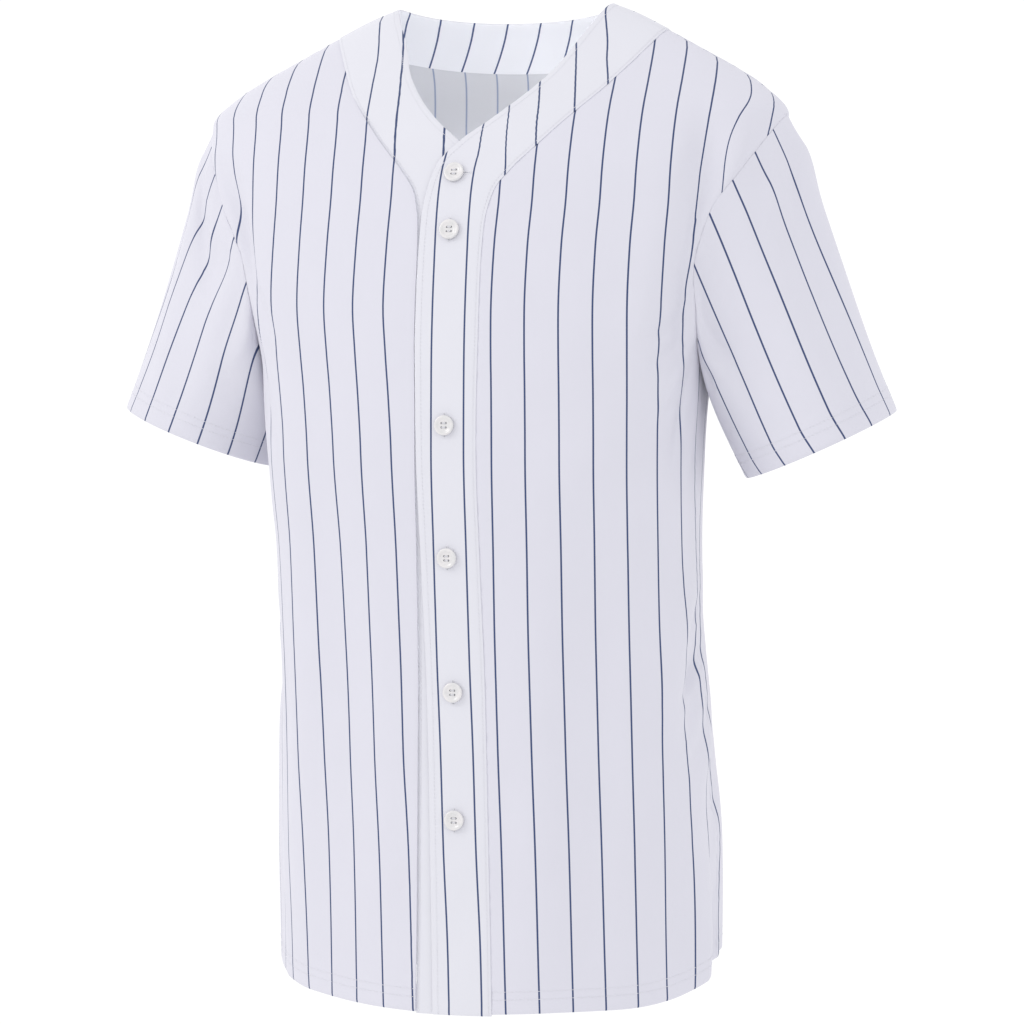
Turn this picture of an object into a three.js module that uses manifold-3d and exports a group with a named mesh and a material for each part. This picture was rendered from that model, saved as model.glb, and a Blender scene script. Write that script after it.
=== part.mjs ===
// A full-button baseball jersey with short set-in sleeves, filled out as if worn, with nobody in it.
// Millimetres, +Z up, the front faces -Y and the wearer's left is +X.
// The origin is midway between the neck points of the two shoulder seams, where shoulders hold it up.
import * as THREE from "three";
import { mergeVertices } from "three/addons/utils/BufferGeometryUtils.js";
import Module from "manifold-3d";

// Each panel is one ply, each band is two, and a hem is turned up once.
const CLOTH = {
  panelWall: 1.4,
  bandWall: 2.0,
  bandProud: 0.6,
  hemWall: 2.2,
  hemDepth: 20,
  seamGap: 0.3,
  armholeGap: 0.4,
};

// Rows run from hem to shoulder. Front columns run from the band to the side, and neck columns round the back
// of the neck. A sleeve has as many columns as its armhole has rows, in front and behind.
const MESH = {
  sideRows: 14,
  armholeRows: 15,
  frontColumns: 10,
  neckColumns: 14,
  bandColumns: 6,
  sleeveRows: 10,
};

// Level sections of the torso, from below the hem to the neck points.
// Front and back are depths from the side line, which lies at sideY.
const SECTIONS = [
  { z: -790, halfWidth: 175, front: 124, back: 109, sideY: -13, squareness: 2.0 },
  { z: -722, halfWidth: 176, front: 124, back: 109, sideY: -13, squareness: 2.0 },
  { z: -646, halfWidth: 177, front: 120, back: 110, sideY: -18, squareness: 2.0 },
  { z: -571, halfWidth: 174, front: 110, back: 113, sideY: -29, squareness: 2.0 },
  { z: -495, halfWidth: 169, front: 101, back: 116, sideY: -41, squareness: 2.1 },
  { z: -420, halfWidth: 167, front: 99, back: 122, sideY: -50, squareness: 2.2 },
  { z: -345, halfWidth: 169, front: 98, back: 131, sideY: -57, squareness: 2.4 },
  { z: -281, halfWidth: 174, front: 99, back: 130, sideY: -55, squareness: 2.4 },
  { z: -230, halfWidth: 188, front: 100, back: 124, sideY: -50, squareness: 2.4 },
  { z: -185, halfWidth: 202, front: 100, back: 119, sideY: -43, squareness: 2.3 },
  { z: -145, halfWidth: 218, front: 97, back: 113, sideY: -36, squareness: 2.2 },
  { z: -112, halfWidth: 230, front: 88, back: 109, sideY: -30, squareness: 2.1 },
  { z: -90, halfWidth: 231, front: 76, back: 105, sideY: -26, squareness: 2.0 },
  { z: -67, halfWidth: 210, front: 58, back: 100, sideY: -20, squareness: 2.0 },
  { z: -52, halfWidth: 187, front: 46, back: 94, sideY: -15, squareness: 2.0 },
  { z: -37, halfWidth: 160, front: 34, back: 84, sideY: -11, squareness: 2.0 },
  { z: -21, halfWidth: 131, front: 25, back: 69, sideY: -7, squareness: 2.0 },
  { z: -9, halfWidth: 108, front: 20, back: 53, sideY: -3, squareness: 2.0 },
  { z: 0, halfWidth: 86, front: 14, back: 42, sideY: 0, squareness: 2.0 },
];

// The armhole from the armpit up to the shoulder tip, in degrees round from the centre front.
const ARMHOLE = [
  { z: -281, frontLeft: 90, frontRight: 90, back: 90 },
  { z: -276, frontLeft: 84, frontRight: 84, back: 98 },
  { z: -258, frontLeft: 77, frontRight: 76, back: 107 },
  { z: -228, frontLeft: 69, frontRight: 68, back: 115 },
  { z: -196, frontLeft: 63, frontRight: 66, back: 119 },
  { z: -165, frontLeft: 62, frontRight: 71, back: 118 },
  { z: -136, frontLeft: 66, frontRight: 77, back: 114 },
  { z: -112, frontLeft: 73, frontRight: 82, back: 107 },
  { z: -96, frontLeft: 82, frontRight: 87, back: 98 },
  { z: -90, frontLeft: 90, frontRight: 90, back: 90 },
];

// The straight part of the front band: its seam on the panel and its free edge, seen from the front.
const PLACKET = [
  { z: -780, seamX: 30.5, edgeX: -15.5 },
  { z: -560, seamX: 27, edgeX: -18.5 },
  { z: -330, seamX: 24, edgeX: -23 },
  { z: -262, seamX: 25, edgeX: -24 },
];

// The shaped part above it, where the free edge turns into the neckline, up to the shoulder seam.
const NECK_BAND = [
  { seamX: 25, seamZ: -262, edgeX: -24, edgeZ: -262 },
  { seamX: 25, seamZ: -215, edgeX: -24, edgeZ: -210 },
  { seamX: 26, seamZ: -178, edgeX: -23, edgeZ: -168 },
  { seamX: 31, seamZ: -152, edgeX: -16, edgeZ: -132 },
  { seamX: 44, seamZ: -133, edgeX: 0, edgeZ: -112 },
  { seamX: 61, seamZ: -115, edgeX: 21, edgeZ: -95 },
  { seamX: 80, seamZ: -94, edgeX: 41, edgeZ: -76 },
  { seamX: 98, seamZ: -74, edgeX: 57, edgeZ: -56 },
  { seamX: 113, seamZ: -53, edgeX: 69, edgeZ: -32 },
  { seamX: 133, seamZ: -22, edgeX: 86, edgeZ: 0 },
];

// The band round the back of the neck, at the centre back.
const BACK_NECK = { edgeZ: -9, seamZ: -46 };

// The right band lies under the left one from here down, and comes up beside it above.
const UNDERLAP = { clearZ: -60, underZ: -100, gap: 0.5 };

// Height of the hem over its lowest level, in degrees round from the centre front.
const HEM_Z = -769;
const HEM_RISE = [
  { angle: 0, left: 0, right: 0 },
  { angle: 25, left: 3, right: 4 },
  { angle: 45, left: 4.5, right: 10 },
  { angle: 60, left: 9, right: 16 },
  { angle: 75, left: 20, right: 22 },
  { angle: 90, left: 34, right: 30 },
  { angle: 102, left: 40, right: 33 },
  { angle: 125, left: 22, right: 20 },
  { angle: 150, left: 7, right: 7 },
  { angle: 180, left: 0, right: 0 },
];

// Each sleeve's cuff, its tilt from the vertical and how far its front edge dips, in degrees.
const CUFF = {
  left: { x: 255, y: -14, z: -340, halfWidth: 63, halfDepth: 61, tilt: 23, dip: 9 },
  right: { x: -246, y: -14, z: -334, halfWidth: 66, halfDepth: 61, tilt: 21.5, dip: 0 },
};
// How far a sleeve swells under the arm.
const UNDERARM_SWELL = 0.3;

// Folds of the torso, each along a line, with the half width of the fold and its height out of the cloth.
// Angles are degrees round from the centre front, positive towards the wearer's left.
const TORSO_GIRTH_PER_DEGREE = 2.6;
const TORSO_FOLDS = [
  { name: "left armhole crease", angle: 51, z: -92, toAngle: 58, toZ: -176, width: 13, height: -7 },
  { name: "left armhole roll", angle: 63, z: -106, toAngle: 66, toZ: -168, width: 12, height: 4 },
  { name: "left armpit pocket", angle: 60, z: -190, toAngle: 70, toZ: -268, width: 14, height: -6 },
  { name: "left chest swell", angle: 44, z: -130, toAngle: 52, toZ: -300, width: 20, height: 4 },
  { name: "right armhole crease", angle: -62, z: -130, toAngle: -61, toZ: -220, width: 12, height: -6 },
  { name: "right armhole roll", angle: -71, z: -120, toAngle: -66, toZ: -215, width: 11, height: 5 },
  { name: "right chest swell", angle: -48, z: -150, toAngle: -52, toZ: -330, width: 20, height: 3 },
  { name: "left waist crease", angle: 88, z: -478, toAngle: 72, toZ: -566, width: 16, height: -8 },
  { name: "left waist ridge", angle: 78, z: -452, toAngle: 62, toZ: -540, width: 17, height: 4 },
  { name: "left lower crease", angle: 98, z: -560, toAngle: 80, toZ: -640, width: 17, height: -5 },
  { name: "left hem flute", angle: 72, z: -640, toAngle: 76, toZ: -790, width: 19, height: 5 },
  { name: "left hem trough", angle: 88, z: -650, toAngle: 86, toZ: -790, width: 15, height: -6 },
  { name: "front left drape", angle: 40, z: -380, toAngle: 36, toZ: -780, width: 24, height: -4 },
  { name: "front left ridge", angle: 22, z: -420, toAngle: 20, toZ: -780, width: 24, height: 3 },
  { name: "front right drape", angle: -34, z: -300, toAngle: -30, toZ: -760, width: 24, height: -4 },
  { name: "front right ridge", angle: -52, z: -360, toAngle: -48, toZ: -780, width: 24, height: 4 },
  { name: "right side trough", angle: -74, z: -420, toAngle: -68, toZ: -780, width: 20, height: -3 },
  { name: "right waist crease", angle: -92, z: -470, toAngle: -78, toZ: -540, width: 16, height: -3 },
  { name: "back left armhole drape", angle: 128, z: -120, toAngle: 116, toZ: -300, width: 20, height: 6 },
  { name: "back left armhole crease", angle: 140, z: -150, toAngle: 126, toZ: -340, width: 18, height: -6 },
  { name: "back right armhole drape", angle: 230, z: -130, toAngle: 243, toZ: -290, width: 20, height: 6 },
  { name: "back right armhole crease", angle: 219, z: -165, toAngle: 235, toZ: -360, width: 18, height: -5 },
  { name: "back centre drape", angle: 184, z: -330, toAngle: 178, toZ: -790, width: 26, height: -6 },
  { name: "back left drape", angle: 160, z: -360, toAngle: 152, toZ: -790, width: 24, height: 5 },
  { name: "back left trough", angle: 138, z: -400, toAngle: 134, toZ: -780, width: 22, height: -6 },
  { name: "back right drape", angle: 203, z: -340, toAngle: 210, toZ: -780, width: 24, height: 5 },
  { name: "back right trough", angle: 226, z: -430, toAngle: 230, toZ: -790, width: 22, height: -6 },
  { name: "back left waist crease", angle: 104, z: -470, toAngle: 124, toZ: -560, width: 16, height: -6 },
  { name: "back right waist crease", angle: 256, z: -460, toAngle: 238, toZ: -545, width: 16, height: -5 },
];

// Folds of the sleeves: degrees round from the top line towards the front, and millimetres down from the
// armhole, on a sleeve of a nominal length. The first part of it, beside the seam, has none.
const SLEEVE_GIRTH_PER_DEGREE = 1.15;
const SLEEVE_LENGTH = 240;
const FOLD_FREE_SHARE = 0.12;
const SLEEVE_FOLDS = {
  left: [
    { name: "cap swell", angle: -40, down: 34, toAngle: 50, toDown: 34, width: 24, height: 4 },
    { name: "front drape", angle: 118, down: 10, toAngle: 96, toDown: 200, width: 17, height: -4 },
    { name: "front ridge", angle: 72, down: 25, toAngle: 66, toDown: 230, width: 18, height: 3 },
    { name: "cap crease", angle: 30, down: 25, toAngle: 40, toDown: 200, width: 15, height: -3 },
    { name: "back drape", angle: 232, down: 12, toAngle: 258, toDown: 200, width: 18, height: -5 },
    { name: "back ridge", angle: 275, down: 25, toAngle: 288, toDown: 220, width: 17, height: 4 },
  ],
  right: [
    { name: "cap swell", angle: -40, down: 34, toAngle: 50, toDown: 34, width: 24, height: 3 },
    { name: "cap wrinkle", angle: 52, down: 28, toAngle: 66, toDown: 78, width: 11, height: -5 },
    { name: "cap fold", angle: 88, down: 18, toAngle: 74, toDown: 95, width: 12, height: -5 },
    { name: "front ridge", angle: 104, down: 35, toAngle: 92, toDown: 200, width: 17, height: 3 },
    { name: "outer trough", angle: 20, down: 60, toAngle: 30, toDown: 225, width: 16, height: -3 },
    { name: "back drape", angle: 240, down: 12, toAngle: 262, toDown: 200, width: 18, height: -5 },
    { name: "back ridge", angle: 282, down: 28, toAngle: 292, toDown: 220, width: 17, height: 4 },
  ],
};

// Four-hole shirt buttons down the centre front, and where each one is.
const BUTTON = { radius: 7.6, thickness: 3, gap: 0.3, sides: 20, holeRadius: 0.95, holeOffset: 1.6, holeSides: 8 };
const BUTTONS = [
  { x: 0, z: -137 },
  { x: 0, z: -180 },
  { x: 0, z: -326 },
  { x: 0, z: -425 },
  { x: 2, z: -526 },
  { x: 2.5, z: -622 },
];

const COLOUR = { cloth: 0xf1f1f6, button: 0xf4f1ec };
const DEGREE = Math.PI / 180;

const manifold = await Module();
manifold.setup();

function mix(a, b, share) {
  return a + (b - a) * share;
}

function clamp(value, low, high) {
  return Math.min(high, Math.max(low, value));
}

// A smooth curve through values at rising positions, with no overshoot, and straight beyond its ends.
function smoothThrough(positions, values) {
  const last = positions.length - 1;
  const secant = (k) => (values[k + 1] - values[k]) / (positions[k + 1] - positions[k]);
  const slopes = positions.map((_, k) => {
    if (k === 0) return secant(0);
    if (k === last) return secant(last - 1);
    const before = secant(k - 1);
    const after = secant(k);
    return before * after <= 0 ? 0 : (2 * before * after) / (before + after);
  });
  return (at) => {
    if (at <= positions[0]) return values[0] + slopes[0] * (at - positions[0]);
    if (at >= positions[last]) return values[last] + slopes[last] * (at - positions[last]);
    const k = positions.findIndex((position) => position > at) - 1;
    const span = positions[k + 1] - positions[k];
    const s = (at - positions[k]) / span;
    const bend = slopes[k] * (1 - s) - slopes[k + 1] * s;
    return mix(values[k], values[k + 1], s * s * (3 - 2 * s)) + span * s * (1 - s) * bend;
  };
}

// Every column of a table as such a curve, over one of its columns or over its rows from 0 to 1.
function smoothTable(table, over) {
  const positions = table.map((row, k) => (over ? row[over] : k / (table.length - 1)));
  const columns = Object.keys(table[0]).map((name) => [
    name,
    smoothThrough(positions, table.map((row) => row[name])),
  ]);
  return Object.fromEntries(columns);
}

const section = smoothTable(SECTIONS, "z");
const armhole = smoothTable(ARMHOLE);
const placket = smoothTable(PLACKET, "z");
const neckBand = smoothTable(NECK_BAND);
const hemRise = smoothTable(HEM_RISE, "angle");

// The shorter way round from one angle to another, in degrees.
function turn(from, to) {
  return ((((to - from + 180) % 360) + 360) % 360) - 180;
}

// Height of one fold at a place given from the fold's start, in millimetres along and across its line.
function foldHeight(x, y, runX, runY, fold) {
  const share = clamp((x * runX + y * runY) / (runX * runX + runY * runY), 0, 1);
  const off = Math.hypot(x - share * runX, y - share * runY);
  const swell = 0.3 + 0.7 * Math.sin(Math.PI * share);
  return fold.height * swell * Math.exp(-((off / fold.width) ** 2));
}

function torsoFoldHeight(angle, z) {
  let height = 0;
  for (const fold of TORSO_FOLDS) {
    const x = turn(fold.angle, angle) * TORSO_GIRTH_PER_DEGREE;
    const runX = turn(fold.angle, fold.toAngle) * TORSO_GIRTH_PER_DEGREE;
    height += foldHeight(x, z - fold.z, runX, fold.toZ - fold.z, fold);
  }
  return height;
}

// The torso without folds, at an angle in degrees round from the centre front.
function torsoForm(angle, z) {
  const side = Math.sin(angle * DEGREE);
  const facing = Math.cos(angle * DEGREE);
  const power = 2 / section.squareness(z);
  const depth = facing > 0 ? section.front(z) : section.back(z);
  return new THREE.Vector3(
    section.halfWidth(z) * Math.sign(side) * Math.abs(side) ** power,
    section.sideY(z) - depth * Math.sign(facing) * Math.abs(facing) ** power,
    z,
  );
}

// The direction out of a surface that is a function of two numbers, away from a place inside it.
function outward(surface, a, b, stepA, stepB, inside) {
  const along = surface(a + stepA, b).sub(surface(a - stepA, b));
  const up = surface(a, b + stepB).sub(surface(a, b - stepB));
  const normal = along.cross(up).normalize();
  return normal.dot(surface(a, b).sub(inside)) < 0 ? normal.negate() : normal;
}

function torsoInside(z) {
  return new THREE.Vector3(0, section.sideY(z), z - 30);
}

// The torso's outer surface, with its folds.
function torsoSurface(angle, z) {
  const normal = outward(torsoForm, angle, z, 1, 1.5, torsoInside(z));
  return torsoForm(angle, z).addScaledVector(normal, torsoFoldHeight(angle, z));
}

function torsoNormal(angle, z) {
  return outward(torsoSurface, angle, z, 1.5, 2.5, torsoInside(z));
}

// The angle where the front of the torso is x millimetres from its middle.
function angleAt(x, z) {
  const share = clamp(Math.abs(x) / section.halfWidth(z), 0, 1);
  return (Math.sign(x) * Math.asin(share ** (section.squareness(z) / 2))) / DEGREE;
}

function hemZ(angle) {
  const round = turn(0, angle);
  return HEM_Z + (round > 0 ? hemRise.left(round) : hemRise.right(-round));
}

// Rows below the armpit, as shares of that height: the hem, its turn-up, and even steps above.
const TURN_UP_SHARE = CLOTH.hemDepth / (NECK_BAND[0].seamZ - HEM_Z);
const TURN_UP_STEP = 0.003;
const LOWER_SHARES = [0, TURN_UP_SHARE];
for (let k = 0; k <= MESH.sideRows - 2; k++) {
  LOWER_SHARES.push(mix(TURN_UP_SHARE + TURN_UP_STEP, 1, k / (MESH.sideRows - 2)));
}
const ARMPIT_ROW = LOWER_SHARES.length - 1;
const TOP_ROW = ARMPIT_ROW + MESH.armholeRows;

// Where a row lies: its share of the height below the armpit, or of the armhole above it.
function rowPlace(row) {
  const below = row <= ARMPIT_ROW;
  return { below, share: below ? LOWER_SHARES[row] : (row - ARMPIT_ROW) / MESH.armholeRows };
}

function panelWall(row) {
  return row <= 1 ? CLOTH.hemWall : CLOTH.panelWall;
}

// A front band's seam or free edge at a row, on the wearer's left (side 1) or right (side -1).
function bandEdge(row, side, edge) {
  const { below, share } = rowPlace(row);
  if (below) {
    const z = mix(HEM_Z, NECK_BAND[0][edge + "Z"], share);
    return { angle: side * angleAt(placket[edge + "X"](z), z), z };
  }
  const z = neckBand[edge + "Z"](share);
  return { angle: side * angleAt(neckBand[edge + "X"](share), z), z };
}

// The panels' outer edge at a row: the side seam, and then the armhole, in front or behind.
function sideEdge(row, side, front) {
  const { below, share } = rowPlace(row);
  if (below) return { angle: 90, z: mix(hemZ(90 * side), ARMHOLE[0].z, share) };
  const column = front ? (side > 0 ? "frontLeft" : "frontRight") : "back";
  return { angle: armhole[column](share), z: armhole.z(share) };
}

// The armhole as a loop: 0 at the shoulder tip, down the front to 1 at the armpit, and up the back to 2.
function armholeLoop(side, turnShare) {
  const around = ((turnShare % 2) + 2) % 2;
  const front = around <= 1;
  const station = front ? 1 - around : around - 1;
  const column = front ? (side > 0 ? "frontLeft" : "frontRight") : "back";
  return torsoSurface(side * armhole[column](station), armhole.z(station));
}

const LOOP_SAMPLES = 16;

function armholeCentre(side) {
  const centre = new THREE.Vector3();
  for (let k = 0; k < LOOP_SAMPLES; k++) {
    centre.addScaledVector(armholeLoop(side, (2 * k) / LOOP_SAMPLES), 1 / LOOP_SAMPLES);
  }
  return centre;
}
const ARMHOLE_CENTRE = { left: armholeCentre(1), right: armholeCentre(-1) };

// The armhole seam at a place in the loop: its point, the direction out of the cloth there,
// and the direction across the seam towards the sleeve.
function armholeSeam(side, turnShare) {
  const point = armholeLoop(side, turnShare);
  const tangent = armholeLoop(side, turnShare + 0.03).sub(armholeLoop(side, turnShare - 0.03)).normalize();
  const radial = point.clone().sub(side > 0 ? ARMHOLE_CENTRE.left : ARMHOLE_CENTRE.right);
  radial.addScaledVector(tangent, -radial.dot(tangent)).normalize();
  const across = tangent.clone().cross(radial).normalize();
  if (across.x * side < 0) across.negate();
  return { point, radial, across };
}

// The wall's direction beside the armhole seam, between the seam's own and the cloth's.
const SEAM_LEAN = 1.5;

function seamNormal(radial, normal) {
  return radial.clone().multiplyScalar(SEAM_LEAN).add(normal).normalize();
}

// Moves a grid's border points inwards by half a seam's gap, on the borders that meet another piece.
function openSeams(points, borders) {
  const half = CLOTH.seamGap / 2;
  const lastRow = points.length - 1;
  const lastColumn = points[0].length - 1;
  const moved = points.map((row) => row.map((point) => point.clone()));
  const shift = (row, column, towardRow, towardColumn) => {
    const step = points[towardRow][towardColumn].clone().sub(points[row][column]).normalize();
    moved[row][column].addScaledVector(step, half);
  };
  for (let row = 0; row <= lastRow; row++) {
    if (borders.first && row >= borders.first[0] && row <= borders.first[1]) shift(row, 0, row, 1);
    if (borders.last && row >= borders.last[0] && row <= borders.last[1]) {
      shift(row, lastColumn, row, lastColumn - 1);
    }
  }
  if (borders.top) {
    for (let column = 0; column <= lastColumn; column++) shift(lastRow, column, lastRow - 1, column);
  }
  return moved;
}

// A closed mesh between the outer and the inner skin of a grid of cloth places.
function wallGeometry(grid, closedRound = false) {
  const rows = grid.length;
  const columns = grid[0].length;
  const positions = [];
  for (const row of grid) {
    for (const { outer, inner } of row) positions.push(...outer.toArray(), ...inner.toArray());
  }
  const index = [];
  const outer = (row, column) => 2 * (row * columns + (column % columns));
  const inner = (row, column) => outer(row, column) + 1;
  const quad = (a, b, c, d) => index.push(a, b, c, a, c, d);
  const spans = closedRound ? columns : columns - 1;
  for (let row = 0; row < rows - 1; row++) {
    for (let column = 0; column < spans; column++) {
      const corners = [[row, column], [row, column + 1], [row + 1, column + 1], [row + 1, column]];
      quad(...corners.map(([r, c]) => outer(r, c)));
      quad(...corners.reverse().map(([r, c]) => inner(r, c)));
    }
    if (!closedRound) {
      quad(outer(row, 0), outer(row + 1, 0), inner(row + 1, 0), inner(row, 0));
      quad(inner(row, spans), inner(row + 1, spans), outer(row + 1, spans), outer(row, spans));
    }
  }
  const last = rows - 1;
  for (let column = 0; column < spans; column++) {
    const next = column + 1;
    quad(inner(0, column), inner(0, next), outer(0, next), outer(0, column));
    quad(outer(last, column), outer(last, next), inner(last, next), inner(last, column));
  }
  const geometry = new THREE.BufferGeometry();
  geometry.setAttribute("position", new THREE.Float32BufferAttribute(positions, 3));
  geometry.setIndex(signedVolume(positions, index) < 0 ? index.reverse() : index);
  geometry.computeVertexNormals();
  return geometry;
}

function signedVolume(positions, index) {
  const at = (k) => new THREE.Vector3().fromArray(positions, 3 * index[k]);
  let volume = 0;
  for (let k = 0; k < index.length; k += 3) volume += at(k).dot(at(k + 1).cross(at(k + 2))) / 6;
  return volume;
}

// One place on the cloth: its outer point, `proud` millimetres out of the surface, and its inner point.
function clothPlace(point, normal, thickness, proud = 0) {
  return {
    outer: point.clone().addScaledVector(normal, proud),
    inner: point.clone().addScaledVector(normal, proud - thickness),
  };
}

// A torso panel from its grid of angles and heights. The armhole borders follow the seam of the sleeve.
function torsoPanel(places, borders, armholes) {
  const points = openSeams(places.map((row) => row.map(({ angle, z }) => torsoSurface(angle, z))), borders);
  const grid = points.map((row, j) =>
    row.map((point, i) => {
      const { angle, z } = places[j][i];
      const seam = armholes.find(({ column }) => column === i && j >= ARMPIT_ROW);
      const normal = torsoNormal(angle, z);
      if (!seam) return clothPlace(point, normal, panelWall(j));
      const station = (j - ARMPIT_ROW) / MESH.armholeRows;
      const { radial, across } = armholeSeam(seam.side, seam.front ? 1 - station : 1 + station);
      const opened = point.clone().addScaledVector(across, -CLOTH.armholeGap / 2);
      return clothPlace(opened, seamNormal(radial, normal), panelWall(j));
    }),
  );
  return wallGeometry(grid);
}

function frontPanel(side) {
  const places = [];
  for (let row = 0; row <= TOP_ROW; row++) {
    const { below, share } = rowPlace(row);
    const inner = bandEdge(row, side, "seam");
    const outer = sideEdge(row, side, true);
    const hemFade = below ? 1 - share : 0;
    const line = [];
    for (let column = 0; column <= MESH.frontColumns; column++) {
      const s = column / MESH.frontColumns;
      const angle = mix(inner.angle, side * outer.angle, s);
      const hemShape = hemZ(angle) - mix(hemZ(0), hemZ(90 * side), s);
      line.push({ angle, z: mix(inner.z, outer.z, s) + hemFade * hemShape });
    }
    places.push(line);
  }
  const borders = { first: [0, TOP_ROW], last: [0, ARMPIT_ROW], top: true };
  return torsoPanel(places, borders, [{ column: MESH.frontColumns, side, front: true }]);
}

// Height of the back band's seam or neck edge, at an angle from the side (90) to the centre back (180).
function backNeckZ(angle, edge) {
  const behind = Math.sin((angle - 90) * DEGREE) ** 2;
  const atShoulder = NECK_BAND[NECK_BAND.length - 1][edge + "Z"];
  return mix(atShoulder, BACK_NECK[edge + "Z"], behind);
}

// The back's top border: up the left shoulder seam, round the neck and down the right shoulder seam.
function backTop(column) {
  const { frontColumns, neckColumns } = MESH;
  const all = 2 * frontColumns + neckColumns;
  const tipZ = ARMHOLE[ARMHOLE.length - 1].z;
  const seamZ = NECK_BAND[NECK_BAND.length - 1].seamZ;
  if (column <= frontColumns) return { angle: 90, z: mix(tipZ, seamZ, column / frontColumns) };
  if (column >= all - frontColumns) return { angle: 270, z: mix(tipZ, seamZ, (all - column) / frontColumns) };
  const angle = mix(90, 270, (column - frontColumns) / neckColumns);
  return { angle, z: backNeckZ(angle, "seam") };
}

function backPanel() {
  const all = 2 * MESH.frontColumns + MESH.neckColumns;
  const tipZ = ARMHOLE[ARMHOLE.length - 1].z;
  const places = [];
  for (let row = 0; row <= TOP_ROW; row++) {
    const { below, share } = rowPlace(row);
    const edge = sideEdge(row, 1, false);
    const neckShare = below ? 0 : share * share;
    const hemFade = below ? 1 - share : 0;
    const line = [];
    for (let column = 0; column <= all; column++) {
      const s = column / all;
      const top = backTop(column);
      const angle = mix(edge.angle, 360 - edge.angle, s) + neckShare * (top.angle - mix(90, 270, s));
      const z = edge.z + hemFade * (hemZ(angle) - hemZ(90)) + neckShare * (top.z - tipZ);
      line.push({ angle, z });
    }
    places.push(line);
  }
  const borders = { first: [0, ARMPIT_ROW], last: [0, ARMPIT_ROW], top: true };
  return torsoPanel(places, borders, [
    { column: 0, side: 1, front: false },
    { column: all, side: -1, front: false },
  ]);
}

// How far a band's outer face lies out of the torso's surface: the right one passes under the left one.
function bandProud(side, z) {
  if (side > 0) return CLOTH.bandProud;
  const under = clamp((z - UNDERLAP.clearZ) / (UNDERLAP.underZ - UNDERLAP.clearZ), 0, 1);
  const drop = CLOTH.bandWall + UNDERLAP.gap;
  return CLOTH.bandProud - drop * under * under * (3 - 2 * under);
}

function frontBand(side) {
  const places = [];
  for (let row = 0; row <= TOP_ROW; row++) {
    const seam = bandEdge(row, side, "seam");
    const edge = bandEdge(row, side, "edge");
    const line = [];
    for (let column = 0; column <= MESH.bandColumns; column++) {
      const s = column / MESH.bandColumns;
      line.push({ angle: mix(seam.angle, edge.angle, s), z: mix(seam.z, edge.z, s) });
    }
    places.push(line);
  }
  const surface = places.map((row) => row.map(({ angle, z }) => torsoSurface(angle, z)));
  const points = openSeams(surface, { first: [0, TOP_ROW], top: true });
  const grid = points.map((row, j) =>
    row.map((point, i) => {
      const { angle, z } = places[j][i];
      return clothPlace(point, torsoNormal(angle, z), CLOTH.bandWall, bandProud(side, z));
    }),
  );
  return wallGeometry(grid);
}

function backBand() {
  const places = [];
  for (let column = 0; column <= MESH.neckColumns; column++) {
    const angle = mix(90, 270, column / MESH.neckColumns);
    const line = [];
    for (let k = 0; k <= MESH.bandColumns; k++) {
      line.push({ angle, z: mix(backNeckZ(angle, "edge"), backNeckZ(angle, "seam"), k / MESH.bandColumns) });
    }
    places.push(line);
  }
  const surface = places.map((row) => row.map(({ angle, z }) => torsoSurface(angle, z)));
  const half = openSeams(surface, { last: [0, MESH.neckColumns], top: true });
  const points = openSeams(half.reverse(), { top: true }).reverse();
  const grid = points.map((row, j) =>
    row.map((point, i) => {
      const { angle, z } = places[j][i];
      return clothPlace(point, torsoNormal(angle, z), CLOTH.bandWall, CLOTH.bandProud);
    }),
  );
  return wallGeometry(grid);
}

// The directions of a sleeve: down its axis, and out of it above and in front.
function sleeveAxes(side) {
  const cuff = side > 0 ? CUFF.left : CUFF.right;
  const tilt = cuff.tilt * DEGREE;
  const axis = new THREE.Vector3(side * Math.sin(tilt), 0, -Math.cos(tilt));
  const top = new THREE.Vector3(side * Math.cos(tilt), 0, Math.sin(tilt));
  const front = new THREE.Vector3(0, -1, 0);
  const dip = side * cuff.dip * DEGREE;
  return { axis: axis.applyAxisAngle(top, dip), top, front: front.applyAxisAngle(top, dip) };
}

function cuffPoint(side, angle) {
  const { x, y, z, halfWidth, halfDepth } = side > 0 ? CUFF.left : CUFF.right;
  const { top, front } = sleeveAxes(side);
  return new THREE.Vector3(x, y, z)
    .addScaledVector(top, halfWidth * Math.cos(angle * DEGREE))
    .addScaledVector(front, halfDepth * Math.sin(angle * DEGREE));
}

// The sleeve without folds, from the armhole (down 0) to the cuff (down 1). Angles go round from its top line.
function sleeveForm(side, angle, down) {
  const { axis, top } = sleeveAxes(side);
  const start = armholeLoop(side, angle / 180);
  const end = cuffPoint(side, angle);
  const length = start.distanceTo(end);
  const under = 0.5 - 0.5 * Math.cos(angle * DEGREE);
  const leave = axis.clone().addScaledVector(top, -UNDERARM_SWELL * under);
  const s = down;
  return start
    .multiplyScalar((1 + 2 * s) * (1 - s) * (1 - s))
    .addScaledVector(leave, length * s * (1 - s) * (1 - s))
    .addScaledVector(end, s * s * (3 - 2 * s))
    .addScaledVector(axis, -length * s * s * (1 - s));
}

function sleeveInside(side, down) {
  const centre = side > 0 ? ARMHOLE_CENTRE.left : ARMHOLE_CENTRE.right;
  const { x, y, z } = side > 0 ? CUFF.left : CUFF.right;
  return centre.clone().lerp(new THREE.Vector3(x, y, z), down);
}

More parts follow.
